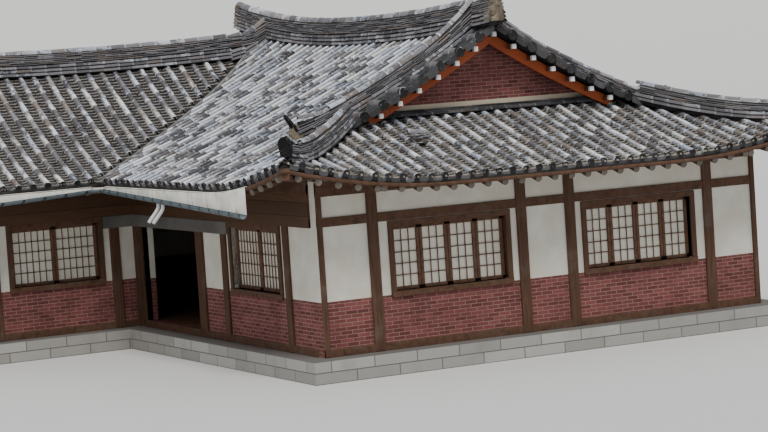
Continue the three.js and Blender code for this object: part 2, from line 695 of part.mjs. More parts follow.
// Ridges: the two main ones first, then the descending and hip ridges at each corner
const mainRidgeLine = (t) => {
  const y = -RIDGE_PAST_VERGE - VERGE_OVERHANG + t * (RIDGE_LENGTH + 2 * (RIDGE_PAST_VERGE + VERGE_OVERHANG));
  return new THREE.Vector3(0, y, mainLeftTop(0, y));
};
const wingRidgeLine = (t) => {
  const first = WING_GABLE_X - VERGE_OVERHANG - RIDGE_PAST_VERGE;
  const x = first + t * (-MAIN_RIDGE_WIDTH * WING_RIDGE_END_SHARE - first);
  return new THREE.Vector3(x, WING_RIDGE_Y, Math.max(wingTop(x, WING_RIDGE_Y), mainLeftTop(x, WING_RIDGE_Y)));
};
const leftSlopes = ["main_left_slope", "main_left_rear_slope"];
const wingSlopes = ["wing_front_slope", "wing_rear_slope"];
add("main_ridge",
  (margin) => ridge(mainRidgeLine, 14, MAIN_RIDGE_WIDTH, MAIN_RIDGE_HEIGHT, 0, RIDGE_SINK, RIDGE_SINK, margin),
  "ridge", [...leftSlopes, "main_right_slope"]);
add("wing_ridge",
  (margin) => ridge(wingRidgeLine, 14, MAIN_RIDGE_WIDTH, WING_RIDGE_HEIGHT, 0, RIDGE_SINK, RIDGE_SINK, margin),
  "ridge", [...leftSlopes, ...wingSlopes, "main_ridge"]);

function sideRidge(name, from, to, top, neighbours, sinkStart = SIDE_RIDGE_SINK) {
  const path = run(from, to, top);
  const make = (margin) =>
    ridge(path, 8, SIDE_RIDGE_WIDTH, SIDE_RIDGE_HEIGHT, END_TILE_RISE, sinkStart, SIDE_RIDGE_SINK, margin);
  add(name, make, "ridge", neighbours);
}

const descentY = DESCENT_INSET;
const rearDescentY = RIDGE_LENGTH - DESCENT_INSET;
const hipStart = SKIRT + HIP_PAST_VERGE;
const hipEnd = SIDE_RIDGE_WIDTH / 2;
const onFrontHip = (fromCorner, side) => [side * (EAVE_X - fromCorner), FRONT_EAVE_Y + fromCorner];
sideRidge("front_left_descending_ridge", [-DESCENT_START, descentY], [-DESCENT_END, descentY], mainLeftTop,
  ["main_left_slope", "main_ridge"]);
sideRidge("front_right_descending_ridge", [DESCENT_START, descentY], [DESCENT_END, descentY], mainRightTop,
  ["main_right_slope", "main_ridge"]);
sideRidge("front_left_hip_ridge", onFrontHip(hipStart, -1), onFrontHip(hipEnd, -1), mainLeftTop,
  ["main_left_slope", "front_skirt", "front_left_descending_ridge"], HIP_SINK);
sideRidge("front_right_hip_ridge", onFrontHip(hipStart, 1), onFrontHip(hipEnd, 1), mainRightTop,
  ["main_right_slope", "front_skirt", "front_right_descending_ridge"], HIP_SINK);
sideRidge("rear_right_descending_ridge", [DESCENT_START, rearDescentY], [DESCENT_END, rearDescentY],
  mainRightTop, ["main_right_slope", "main_ridge"]);
sideRidge("rear_right_hip_ridge", [EAVE_X - hipStart, REAR_EAVE_Y - hipStart],
  [EAVE_X - hipEnd, REAR_EAVE_Y - hipEnd], mainRightTop,
  ["main_right_slope", "rear_skirt", "rear_right_descending_ridge"], HIP_SINK);
sideRidge("rear_left_ridge", [rearStepX - SIDE_RIDGE_WIDTH / 2, rearVerge + SIDE_RIDGE_WIDTH],
  [rearStepX - SIDE_RIDGE_WIDTH / 2, REAR_EAVE_Y - hipEnd], wingTop,
  ["wing_rear_slope", "rear_skirt"], HIP_SINK);
const wingDescentX = WING_GABLE_X + DESCENT_INSET;
const wingHipStart = WING_SKIRT + HIP_PAST_VERGE;
for (const [name, side] of [["wing_front", -1], ["wing_rear", 1]]) {
  const slope = `${name}_slope`;
  const eaveY = WING_RIDGE_Y + side * WING_HALF;
  sideRidge(`${name}_descending_ridge`, [wingDescentX, WING_RIDGE_Y + side * DESCENT_START],
    [wingDescentX, WING_RIDGE_Y + side * WING_DESCENT_END], wingTop, [slope, "wing_ridge"]);
  sideRidge(`${name}_hip_ridge`, [WING_EAVE_X + wingHipStart, eaveY - side * wingHipStart],
    [WING_EAVE_X + hipEnd, eaveY - side * hipEnd], wingTop,
    [slope, "wing_end_skirt", `${name}_descending_ridge`], HIP_SINK);
}

// Gables
const frontPlace = (along, depth, z) => new THREE.Vector3(along, GABLE_WALL_Y + depth, z);
const rearPlace = (along, depth, z) => new THREE.Vector3(along, RIDGE_LENGTH - GABLE_WALL_Y - depth, z);
const wingPlace = (along, depth, z) =>
  new THREE.Vector3(WING_GABLE_X + GABLE_WALL_Y + depth, WING_RIDGE_Y + along, z);
const gableReach = GABLE_WALL_Y + GABLE_WALL;
function gableWall(name, half, skirt, profile, apex, place, neighbours) {
  const foot = skirtProfile(profile, half, skirt + GABLE_WALL_Y) - GABLE_SUNK;
  const halfWidth = half - skirt - gableReach - GABLE_CORNER;
  add(name, () => gable(halfWidth, apex - GABLE_SUNK, foot, place, GABLE_WALL), "brick", neighbours);
}
gableWall("front_gable_wall", EAVE_X, SKIRT, mainProfile, mainTop(0, GABLE_WALL_Y, false), frontPlace,
  ["main_left_slope", "main_right_slope", "front_skirt"]);
gableWall("rear_gable_wall", EAVE_X, SKIRT, mainProfile, mainTop(0, RIDGE_LENGTH - gableReach, false),
  rearPlace, ["main_left_rear_slope", "main_right_slope", "wing_rear_slope", "rear_skirt"]);
gableWall("wing_gable_wall", WING_HALF, WING_SKIRT, wingProfile,
  wingTop(WING_GABLE_X + gableReach, WING_RIDGE_Y), wingPlace,
  ["wing_front_slope", "wing_rear_slope", "wing_end_skirt"]);

const frontBarge = (along, depth, z) => new THREE.Vector3(along, depth, z);
const rearBarge = (along, depth, z) => new THREE.Vector3(along, RIDGE_LENGTH - depth, z);
const wingBarge = (along, depth, z) => new THREE.Vector3(WING_GABLE_X + depth, WING_RIDGE_Y + along, z);
const frontVerge = (u) => mainTop(u, 0, false) - BED_THICKNESS;
const rearVergeUnder = (u) => mainTop(u, RIDGE_LENGTH, false) - BED_THICKNESS;
const wingVerge = (u) => wingTop(WING_GABLE_X, WING_RIDGE_Y + u) - BED_THICKNESS;
add("front_bargeboards", () => bargeboards(BARGE_REACH, frontVerge, frontBarge), "board",
  ["main_left_slope", "main_right_slope", "front_skirt"]);
add("rear_bargeboards", () => bargeboards(BARGE_REACH, rearVergeUnder, rearBarge), "board",
  ["main_left_rear_slope", "main_right_slope", "wing_rear_slope", "rear_skirt"]);
add("wing_bargeboards", () => bargeboards(WING_BARGE_REACH, wingVerge, wingBarge), "board",
  ["wing_front_slope", "wing_rear_slope", "wing_end_skirt"]);

// Plinths and floors
const wallX = EAVE_X - WALL_INSET;
const frontWallY = FRONT_EAVE_Y + WALL_INSET;
const rearWallY = REAR_EAVE_Y - WALL_INSET;
const wingWallX = WING_EAVE_X + WALL_INSET;
const wingWallY = WING_EAVE_Y + WALL_INSET;
const plinthX = wallX + PLINTH_MARGIN;
const rearPlinthY = rearWallY + PLINTH_MARGIN;
const inner = WALL + GAP;
add("main_foundation", () => box(-plinthX, plinthX, frontWallY - PLINTH_MARGIN, rearPlinthY,
  0, PLINTH_TOP), "stone");
add("wing_foundation", () => box(wingWallX - PLINTH_MARGIN, -plinthX - GAP, wingWallY - PLINTH_MARGIN,
  rearPlinthY, 0, PLINTH_TOP), "stone");
add("main_floor", () => box(-wallX + inner, wallX - inner, frontWallY + inner, rearWallY - inner,
  PLINTH_TOP + GAP, FLOOR_TOP), "timber");
add("wing_floor", () => box(wingWallX + inner, -wallX + WALL, wingWallY + inner, rearWallY - inner,
  PLINTH_TOP + GAP, FLOOR_TOP), "timber");

// Rafters, one node for each eave
const eaves = {
  main_left_rafters: {
    place: (along, fromEave) => [-EAVE_X + fromEave, along],
    top: mainLeftTop,
    first: FRONT_EAVE_Y + CORNER_ZONE, last: WING_EAVE_Y - RAFTER_DIAMETER,
    strips: [[FRONT_EAVE_Y + BOARD_MITRE, FRONT_EAVE_Y + CORNER_ZONE + STRIP_LAP]],
    corners: [],
  },
  main_right_rafters: {
    place: (along, fromEave) => [EAVE_X - fromEave, along],
    top: mainRightTop,
    first: FRONT_EAVE_Y + CORNER_ZONE, last: REAR_EAVE_Y - CORNER_ZONE,
    strips: [[FRONT_EAVE_Y + BOARD_MITRE, FRONT_EAVE_Y + CORNER_ZONE + STRIP_LAP],
      [REAR_EAVE_Y - CORNER_ZONE - STRIP_LAP, REAR_EAVE_Y - BOARD_MITRE]],
    corners: [],
  },
  front_rafters: {
    place: (along, fromEave) => [along, FRONT_EAVE_Y + fromEave],
    top: frontSkirtTop,
    first: -EAVE_X + CORNER_ZONE, last: EAVE_X - CORNER_ZONE,
    strips: [[-EAVE_X + BOARD_CORNER, -EAVE_X + CORNER_ZONE + STRIP_LAP],
      [EAVE_X - CORNER_ZONE - STRIP_LAP, EAVE_X - BOARD_CORNER]],
    corners: [
      { eaveX: -EAVE_X, eaveY: FRONT_EAVE_Y, inX: 1, inY: 1, top: frontSkirtTop },
      { eaveX: EAVE_X, eaveY: FRONT_EAVE_Y, inX: -1, inY: 1, top: frontSkirtTop },
    ],
  },
  rear_rafters: {
    place: (along, fromEave) => [along, REAR_EAVE_Y - fromEave],
    top: rearSkirtTop,
    first: rearStepX + RAFTER_DIAMETER, last: EAVE_X - CORNER_ZONE,
    strips: [[EAVE_X - CORNER_ZONE - STRIP_LAP, EAVE_X - BOARD_CORNER]],
    corners: [{ eaveX: EAVE_X, eaveY: REAR_EAVE_Y, inX: -1, inY: -1, top: rearSkirtTop }],
  },
  wing_rear_rafters: {
    place: (along, fromEave) => [along, REAR_EAVE_Y - fromEave],
    top: wingTop,
    first: WING_EAVE_X + CORNER_ZONE, last: rearStepX - RAFTER_DIAMETER,
    strips: [[WING_EAVE_X + BOARD_CORNER, WING_EAVE_X + CORNER_ZONE + STRIP_LAP]],
    corners: [{ eaveX: WING_EAVE_X, eaveY: REAR_EAVE_Y, inX: 1, inY: -1, top: wingSkirtTop }],
  },
  wing_front_rafters: {
    place: (along, fromEave) => [along, WING_EAVE_Y + fromEave],
    top: wingTop,
    first: WING_EAVE_X + CORNER_ZONE, last: -EAVE_X - RAFTER_DIAMETER,
    strips: [[WING_EAVE_X + BOARD_CORNER, WING_EAVE_X + CORNER_ZONE + STRIP_LAP]],
    corners: [{ eaveX: WING_EAVE_X, eaveY: WING_EAVE_Y, inX: 1, inY: 1, top: wingSkirtTop }],
  },
  wing_end_rafters: {
    place: (along, fromEave) => [WING_EAVE_X + fromEave, along],
    top: wingSkirtTop,
    first: WING_EAVE_Y + CORNER_ZONE, last: REAR_EAVE_Y - CORNER_ZONE,
    strips: [[WING_EAVE_Y + BOARD_MITRE, WING_EAVE_Y + CORNER_ZONE + STRIP_LAP],
      [REAR_EAVE_Y - CORNER_ZONE - STRIP_LAP, REAR_EAVE_Y - BOARD_MITRE]],
    corners: [],
  },
};
for (const [name, side] of Object.entries(eaves)) {
  side.under = (along, fromEave) => side.top(...side.place(along, fromEave)) - BED_THICKNESS;
  add(name, () => rafters(side), "timber");
}

// Walls: each ends just below the lowest rafter of its eave
function wallHeight(side) {
  const share = (WALL_INSET - RAFTER_TIP) / (RAFTER_END - RAFTER_TIP);
  const feet = steps(side.first, side.last, 40).map((along) => deckTop(side, along, share));
  return Math.min(...feet) - DECK_THICKNESS - RAFTER_DIAMETER - WALL_TOP_GAP - PLINTH_TOP;
}
const mainWallHeight = wallHeight(eaves.main_right_rafters);
const skirtWallHeight = wallHeight(eaves.front_rafters);
const wingWallHeight = wallHeight(eaves.wing_front_rafters);
const wingEndWallHeight = wallHeight(eaves.wing_end_rafters);
const frontFace = (along, depth, z) => new THREE.Vector3(-wallX + along, frontWallY + depth, z);
const rightFace = (along, depth, z) => new THREE.Vector3(wallX - depth, frontWallY + inner + along, z);
const rearFace = (along, depth, z) => new THREE.Vector3(wallX - inner - along, rearWallY - depth, z);
const leftFaceBelowWing = (along, depth, z) => new THREE.Vector3(-wallX + depth, wingWallY - GAP - along, z);
const wingFrontFace = (along, depth, z) => new THREE.Vector3(wingWallX + along, wingWallY + depth, z);
const wingEndFace = (along, depth, z) => new THREE.Vector3(wingWallX + depth, rearWallY - inner - along, z);

const windowAt = (from, width) => ({ from, width, sill: WINDOW_SILL, head: WINDOW_HEAD });
const hallDoorway = { from: HALL_FROM_WING, width: HALL_WIDTH, sill: HALL_SILL, head: HALL_HEAD };
const frontLength = 2 * wallX;
const rightLength = rearWallY - frontWallY - 2 * inner;
const rearLength = wallX - inner - wingWallX;
const leftLength = wingWallY - GAP - (frontWallY + inner);
const wingFrontLength = -wallX - GAP - wingWallX;
const wingEndLength = rearWallY - wingWallY - 2 * inner;
const openings = {
  front: [windowAt(1300, 2000), windowAt(4800, 2000)],
  right: [windowAt(1000, 2000), windowAt(4800, 2000), windowAt(8700, 2000)],
  rear: [windowAt(1000, 2000), windowAt(4600, 2000), windowAt(7500, 1600), windowAt(10200, 1600)],
  left: [windowAt(4200, 1800)],
  wingFront: [windowAt(700, 1600), windowAt(3000, 1600)],
  wingEnd: [windowAt(1450, 1600)],
};
const rearStep = wallX - inner - rearStepX;
const rearOutline = [[0, 0], [rearLength, 0], [rearLength, wingWallHeight], [rearStep, wingWallHeight],
  [rearStep, skirtWallHeight], [0, skirtWallHeight]];

add("front_wall", () => wall(frontLength, skirtWallHeight, openings.front, frontFace), "wall");
add("right_wall", () => wall(rightLength, mainWallHeight, openings.right, rightFace), "wall");
add("rear_wall", () => wall(rearLength, skirtWallHeight, openings.rear, rearFace, rearOutline), "wall");
add("main_left_wall", () =>
  wall(leftLength, mainWallHeight, [hallDoorway, ...openings.left], leftFaceBelowWing), "wall");
add("wing_front_wall", () => wall(wingFrontLength, wingWallHeight, openings.wingFront, wingFrontFace), "wall");
add("wing_end_wall", () => wall(wingEndLength, wingEndWallHeight, openings.wingEnd, wingEndFace), "wall");

add("front_windows", () => windows(openings.front, frontFace), "paper");
add("right_windows", () => windows(openings.right, rightFace), "paper");
add("rear_windows", () => windows(openings.rear, rearFace), "paper");
add("main_left_window", () => windows(openings.left, leftFaceBelowWing), "paper");
add("wing_front_windows", () => windows(openings.wingFront, wingFrontFace), "paper");
add("wing_end_window", () => windows(openings.wingEnd, wingEndFace), "paper");

// Sheet aprons and gutters along the two courtyard eaves: both fall away from the inner corner
const leftEave = eaves.main_left_rafters;
const wingEave = eaves.wing_front_rafters;
const leftFrom = WING_EAVE_Y - GUTTER_CORNER;
const wingFrom = -EAVE_X - GUTTER_CORNER;
add("main_left_apron",
  () => apron(leftEave, WING_EAVE_Y - APRON_CORNER, LEFT_GUTTER_END, FOOT_AT_CORNER, LEFT_FOOT),
  "apron", ["main_left_slope"], sheet);
add("wing_front_apron",
  () => apron(wingEave, -EAVE_X - APRON_CORNER, WING_GUTTER_END, FOOT_AT_CORNER, WING_FOOT),
  "apron", ["wing_front_slope"], sheet);
add("main_left_gutter", () => gutter(leftEave, leftFrom, LEFT_GUTTER_END, FOOT_AT_CORNER, LEFT_FOOT),
  "gutter", [], sheet);
add("wing_front_gutter", () => gutter(wingEave, wingFrom, WING_GUTTER_END, FOOT_AT_CORNER, WING_FOOT),
  "gutter", [], sheet);

// Two short spouts below the main gutter: an outlet, an elbow and a slanting length of pipe
function spout(y) {
  const share = (y - leftFrom) / (LEFT_GUTTER_END - leftFrom);
  const foot = FOOT_AT_CORNER + (LEFT_FOOT - FOOT_AT_CORNER) * share;
  const outlet = new THREE.Vector3(-EAVE_X + GUTTER_INSET, y, foot - GUTTER_RADIUS - SPOUT_SEAT);
  const elbow = outlet.clone().add(new THREE.Vector3(0, 0, -SPOUT_DROP));
  const end = elbow.clone().add(new THREE.Vector3(...SPOUT_RUN));
  const section = new THREE.Shape().absarc(0, 0, SPOUT_RADIUS, 0, 2 * Math.PI, false);
  const extrudePath = new THREE.CatmullRomCurve3([outlet, elbow, end]);
  return shaped(new THREE.ExtrudeGeometry(section, {
    steps: 8, curveSegments: 10, bevelEnabled: false, extrudePath,
  }));
}
add("main_left_near_spout", () => spout(NEAR_SPOUT_Y), "pipe");
add("main_left_far_spout", () => spout(NEAR_SPOUT_Y + SPOUT_SPACING), "pipe");

export default house;
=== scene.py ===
"""Hanok house: tiles, ridges, gables, eaves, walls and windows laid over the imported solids."""
from contextlib import contextmanager
from functools import cache, partial
import math
import random
import bmesh
import bpy
from mathutils import Matrix, Vector


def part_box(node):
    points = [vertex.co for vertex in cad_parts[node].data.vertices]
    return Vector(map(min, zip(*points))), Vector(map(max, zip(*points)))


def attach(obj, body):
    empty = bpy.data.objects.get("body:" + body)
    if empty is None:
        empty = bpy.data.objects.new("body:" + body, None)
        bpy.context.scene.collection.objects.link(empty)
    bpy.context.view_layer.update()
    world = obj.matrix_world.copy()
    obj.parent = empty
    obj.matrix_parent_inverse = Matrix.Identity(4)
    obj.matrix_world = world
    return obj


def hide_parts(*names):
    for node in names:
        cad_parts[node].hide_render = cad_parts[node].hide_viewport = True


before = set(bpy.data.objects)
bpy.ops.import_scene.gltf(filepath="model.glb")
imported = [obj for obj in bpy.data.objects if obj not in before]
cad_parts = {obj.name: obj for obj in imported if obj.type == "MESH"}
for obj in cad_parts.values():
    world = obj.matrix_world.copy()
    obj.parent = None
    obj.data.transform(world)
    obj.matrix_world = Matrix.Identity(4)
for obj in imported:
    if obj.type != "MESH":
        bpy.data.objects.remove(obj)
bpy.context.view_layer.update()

bl_info = {
    "name": "Hanok house",
    "version": (1, 0, 0),
    "blender": (4, 5, 0),
    "location": "3D View > Sidebar > Hanok",
    "description": "Lays tiles, ridges, boards, bricks and windows on a hanok house",
    "category": "Object",
}

# Places taken from the solids, in metres
(_, FRONT_EAVE, _), (EAVE_X, REAR_EAVE, _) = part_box("main_right_slope")
WING_EAVE_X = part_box("wing_end_skirt")[0][0]
WING_EAVE_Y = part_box("wing_front_slope")[0][1]
SKIRT = -FRONT_EAVE
RIDGE_LENGTH = REAR_EAVE - SKIRT
WING_RIDGE_Y = (WING_EAVE_Y + REAR_EAVE) / 2
WING_HALF = REAR_EAVE - WING_RIDGE_Y
WING_SKIRT = 1.7
WING_GABLE_X = WING_EAVE_X + WING_SKIRT
WALL_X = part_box("right_wall")[1][0]
FRONT_WALL_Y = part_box("front_wall")[0][1]
REAR_WALL_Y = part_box("rear_wall")[1][1]
WING_WALL_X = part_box("wing_end_wall")[0][0]
WING_WALL_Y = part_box("wing_front_wall")[0][1]
PLINTH_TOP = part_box("main_foundation")[1][2]

# The rule that the tile beds follow
EAVE_TOP = 3.06
MAIN_TOP = 5.16
WING_TOP = 4.97
MAIN_PITCH = 0.50
WING_PITCH = 0.70
MAIN_SAG = (EAVE_TOP - MAIN_TOP + MAIN_PITCH * EAVE_X) / EAVE_X ** 2
WING_SAG = (EAVE_TOP - WING_TOP + WING_PITCH * WING_HALF) / WING_HALF ** 2
SKIRT_SHARE = 0.85
CORNER_LIFT = 0.45
LIFT_ACROSS = 2.6
LIFT_ALONG = 3.0
FRONT_RISE = 0.19
REAR_RISE = 0.405
WING_END_RISE = 0.26
WING_JOIN_RISE = 0.14
RISE_POWER = 2.2
RISE_REACH = 3.0
BED = 0.15
VERGE = 0.25
UNDER_TILES = 0.102  # the tiles' space, from a bed's top down to the earth
UP = Vector((0.0, 0.0, 1.0))


def main_profile(u):
    return MAIN_TOP - MAIN_PITCH * u + MAIN_SAG * u * u


def wing_profile(u):
    return WING_TOP - WING_PITCH * u + WING_SAG * u * u


def corner_lift(across, along):
    slope_share = max(0.0, 1 - across / LIFT_ACROSS) ** 1.5
    return CORNER_LIFT * slope_share * max(0.0, 1 - along / LIFT_ALONG) ** 2


def ridge_rise(t, low_end, high_end, u):
    rise = low_end * max(0.0, 1 - 2 * t) ** RISE_POWER + high_end * max(0.0, 2 * t - 1) ** RISE_POWER
    return rise * max(0.0, 1 - u / RISE_REACH) ** 2


def main_top(x, y, rear_corner=False):
    u = abs(x)
    lift = corner_lift(EAVE_X - u, y - FRONT_EAVE)
    if rear_corner:
        lift += corner_lift(EAVE_X - u, REAR_EAVE - y)
    return main_profile(u) + ridge_rise(y / RIDGE_LENGTH, FRONT_RISE, REAR_RISE, u) + lift


def right_top(x, y):
    return main_top(x, y, True)


def wing_top(x, y):
    u = abs(y - WING_RIDGE_Y)
    t = (x - WING_GABLE_X) / -WING_GABLE_X
    rise = ridge_rise(t, WING_END_RISE, WING_JOIN_RISE, u)
    return wing_profile(u) + rise + corner_lift(WING_HALF - u, x - WING_EAVE_X)


def skirt_profile(profile, half, from_eave):
    return EAVE_TOP + (profile(half - from_eave) - EAVE_TOP) * SKIRT_SHARE


def front_skirt_top(x, y):
    from_eave = y - FRONT_EAVE
    lift = corner_lift(from_eave, EAVE_X - x) + corner_lift(from_eave, EAVE_X + x)
    return skirt_profile(main_profile, EAVE_X, from_eave) + lift


def rear_skirt_top(x, y):
    from_eave = REAR_EAVE - y
    return skirt_profile(main_profile, EAVE_X, from_eave) + corner_lift(from_eave, EAVE_X - x)


def wing_skirt_top(x, y):
    from_eave = x - WING_EAVE_X
    lift = corner_lift(from_eave, WING_HALF - abs(y - WING_RIDGE_Y))
    return skirt_profile(wing_profile, WING_HALF, from_eave) + lift


def crossing(low, high, above):
    """The place between low and high where above turns from true to false"""
    for _ in range(40):
        middle = (low + high) / 2
        if above(middle):
            low = middle
        else:
            high = middle
    return (low + high) / 2


def valley_x(y):
    """Distance of the valley from the main ridge line, at a given y"""
    return crossing(0.0, EAVE_X, lambda u: main_top(-u, y) > wing_top(-u, y))


JOIN_X = valley_x(WING_RIDGE_Y)
REAR_VERGE = RIDGE_LENGTH + VERGE
REAR_STEP_X = -valley_x(REAR_VERGE)


def valley_y(x, side):
    """How far the valley lies from the wing's ridge line, at a given x, on one side of it"""
    reach = WING_HALF if side < 0 else REAR_VERGE - WING_RIDGE_Y
    return crossing(0.0, reach, lambda v: valley_x(WING_RIDGE_Y + side * v) < -x)


# Sizes and colours that a user would change
def size_of(name, description, default, low, high, unit="LENGTH", subtype="DISTANCE"):
    return bpy.props.FloatProperty(name=name, description=description, default=default, min=low, max=high,
                                   unit=unit, subtype=subtype)


def colour_of(name, description, default):
    return bpy.props.FloatVectorProperty(name=name, description=description, default=default, size=3,
                                         min=0.0, max=1.0, subtype="COLOR")


class HanokRoofSettings(bpy.types.PropertyGroup):
    row_pitch: size_of("Row pitch", "Distance between rows of cover tiles", 0.262, 0.2, 0.4)
    cover_radius: size_of("Cover tile radius", "Outer radius of a cover tile", 0.064, 0.05, 0.12)
    cover_exposure: size_of("Cover tile exposure", "Length of a cover tile that shows", 0.30, 0.2, 0.45)
    channel_exposure: size_of("Channel tile exposure", "Length of a channel tile that shows", 0.078, 0.06, 0.3)
    tile_skew: size_of("Tile skew", "How far a tile may be turned out of line", 0.018, 0.0, 0.1, "ROTATION", "ANGLE")
    seed: bpy.props.IntProperty(name="Seed", description="Seed of the tiles' small differences", default=7)
    slate: colour_of("Slate", "Colour of a clean dark tile", (0.105, 0.101, 0.106))
    lichen: colour_of("Lichen", "Colour of the pale growth on old tiles", (0.49, 0.515, 0.56))
    mortar: colour_of("Mortar", "Colour of the earth and lime under the ridges", (0.40, 0.33, 0.245))


class HanokWallSettings(bpy.types.PropertyGroup):
    brick_length: size_of("Brick length", "Length of a brick with its joint", 0.2, 0.1, 0.4)
    brick_course: size_of("Brick course", "Height of a brick course with its joint", 0.061, 0.04, 0.15)
    post_width: size_of("Post width", "Width of a post on its face", 0.18, 0.1, 0.3)
    bar_spacing: size_of("Lattice spacing", "Distance between the bars of a window's lattice", 0.12, 0.06, 0.3)
    board_paint: colour_of("Board paint", "Colour of the bargeboards", (0.42, 0.085, 0.022))
    timber: colour_of("Timber", "Colour of the stained posts, beams and rafters", (0.090, 0.046, 0.028))
    brick: colour_of("Brick", "Colour of the brick infill", (0.165, 0.053, 0.051))
    apron: colour_of("Apron", "Colour of the painted sheet under the tile edge", (0.94, 0.91, 0.81))


def roof():
    return bpy.context.scene.hanok_roof


def walls():
    return bpy.context.scene.hanok_walls


# Meshes
@contextmanager
def reworked(mesh):
    """A mesh open for work, written back at the end"""
    work = bmesh.new()
    work.from_mesh(mesh)
    yield work
    work.to_mesh(mesh)
    work.free()


def mesh_of(name, vertices, faces, turn_out=False):
    mesh = bpy.data.meshes.new(name)
    mesh.from_pydata([tuple(v) for v in vertices], [], faces)
    if turn_out:
        with reworked(mesh) as work:
            bmesh.ops.recalc_face_normals(work, faces=work.faces)
    mesh.validate()
    return mesh


def finished(mesh, finish):
    mesh.materials.append(finish)
    return mesh


def loft(name, rings, closed=False, first_cap=False, last_cap=False, worn=None):
    """Faces between rings of equal length; faces look outwards where rings go from a front lip to the back.
    worn gives each ring's share of the pale wear that an edge takes"""
    size = len(rings[0])
    vertices = [point for ring in rings for point in ring]
    faces = []
    for k in range(len(rings) - 1):
        for i in range(size if closed else size - 1):
            j = (i + 1) % size
            faces.append((k * size + i, k * size + j, (k + 1) * size + j, (k + 1) * size + i))
    if first_cap:
        faces.append(tuple(range(size - 1, -1, -1)))
    if last_cap:
        faces.append(tuple(range((len(rings) - 1) * size, len(rings) * size)))
    mesh = mesh_of(name, vertices, faces, turn_out=first_cap and last_cap)
    shares = worn or [0.0] * len(rings)
    values = [share for share in shares for _ in range(size)]
    mesh.attributes.new("worn", "FLOAT", "POINT").data.foreach_set("value", values)
    return mesh


def on_circle(radius, count, span=2 * math.pi):
    """Places on a circle, or on a part of it with both its ends"""
    whole = span == 2 * math.pi
    angles = [span * i / count for i in range(count if whole else count + 1)]
    return [(radius * math.cos(a), radius * math.sin(a)) for a in angles]


def arch(x, radius, drop, segments):
    """A ring over the top of a round tile, from its right side to its left"""
    return [(x, y, z - drop) for y, z in on_circle(radius, segments, math.pi)]


def circle(x, radius, drop):
    return [(x, y, z - drop) for y, z in on_circle(radius, 12)]


def trough(x, half, lift, centre):
    """A ring across a channel tile, low in the middle"""
    across = [half - 2 * half * i / 4 for i in range(5)]
    return [(x, y, centre + lift * (y / half) ** 2) for y in across]


def template(mesh):
    """An object that is only used as the shape that a rule repeats"""
    return bpy.data.objects.new(mesh.name, mesh)


def soften(mesh, angle=0.7):
    """Smooth faces, with the edges that are sharper than the angle kept sharp"""
    with reworked(mesh) as work:
        for face in work.faces:
            face.smooth = True
        for edge in work.edges:
            if len(edge.link_faces) == 2:
                edge.smooth = edge.calc_face_angle(0.0) < angle
    return mesh


def cover_tile(length, front, rear, thickness=0.016):
    """A half-round tile, wider at its front, with a worn front lip"""
    rings = [arch(x, radius, front, 7) for x, radius in (
        (0, front - thickness), (0, front), (0.035, front - 0.001), (length, rear))]
    return template(soften(loft("cover_tile", rings, worn=[1.0, 1.0, 0.82, 0.0])))


def end_tile(radius, drop=None):
    """The closed round front of the first cover tile of a row"""
    drop = radius if drop is None else drop
    rings = [circle(x, size, drop) for x, size in (
        (-0.001, 0.004), (-0.001, radius - 0.022), (-0.008, radius - 0.016), (-0.008, radius), (0.03, radius))]
    return template(soften(loft("end_tile", rings, closed=True)))


def channel_tile(length, half):
    """A shallow tile that laps the one below it by a thick step"""
    centre, step = -0.083, 0.024
    rings = [trough(x, half, 0.022, centre + rise) for x, rise in (
        (0, -0.006), (0, step), (0.03, step * 0.8), (length, 0.002))]
    return template(soften(loft("channel_tile", rings, worn=[1.0, 1.0, 0.9, 0.0])))


def drip_tile(half, low=-0.150):
    """The hanging lip of the first channel tile of a row"""
    rings = [trough(-0.006, half * 0.8, 0.012, low), trough(-0.012, half, 0.024, -0.078),
             trough(0.1, half, 0.024, -0.082)]
    return template(soften(loft("drip_tile", rings, worn=[0.3, 0.8, 0.0])))


def solid(name, rings):
    """A closed loft with both its ends closed"""
    return loft(name, rings, closed=True, first_cap=True, last_cap=True)


def prism(name, length, half, low, high, slip, top):
    """A bar from x = 0 with its long edges taken off, standing on z = 0"""
    section = [(half, low), (half, high), (slip, top), (-slip, top), (-half, high), (-half, low), (-slip, 0.0),
               (slip, 0.0)]
    return template(solid(name, [[(x, y, z) for y, z in section] for x in (0.0, length)]))


def slab_tile(length, half, height):
    """A flat ridge tile with rounded long edges"""
    return prism("slab_tile", length, half, height * 0.3, height * 0.7, half * 0.97, height)


def block(length, width, height, chamfer):
    """A sawn block, centred across"""
    return prism("block", length, width / 2, chamfer, height - chamfer, width / 2 - chamfer, height)


# Geometry node trees
SPARE = 0.98  # rounds the number of spacings up, unless under 2% of one is left over


def add_node(tree, kind, inputs=None, **settings):
    made = tree.nodes.new(kind)
    for key, value in settings.items():
        setattr(made, key, value)
    for key, value in (inputs or {}).items():
        if isinstance(value, bpy.types.NodeSocket):
            tree.links.new(value, made.inputs[key])
        else:
            made.inputs[key].default_value = value
    return made


def new_tree(name, inputs):
    tree = bpy.data.node_groups.new(name, "GeometryNodeTree")
    tree.interface.new_socket("Guides", in_out="INPUT", socket_type="NodeSocketGeometry")
    for label, kind, default in inputs:
        socket = tree.interface.new_socket(label, in_out="INPUT", socket_type=kind)
        if default is not None:
            socket.default_value = default
    tree.interface.new_socket("Geometry", in_out="OUTPUT", socket_type="NodeSocketGeometry")
    start = tree.nodes.new("NodeGroupInput")
    return tree, start.outputs


def first_output(tree, kind, inputs=None, **settings):
    return add_node(tree, kind, inputs, **settings).outputs[0]


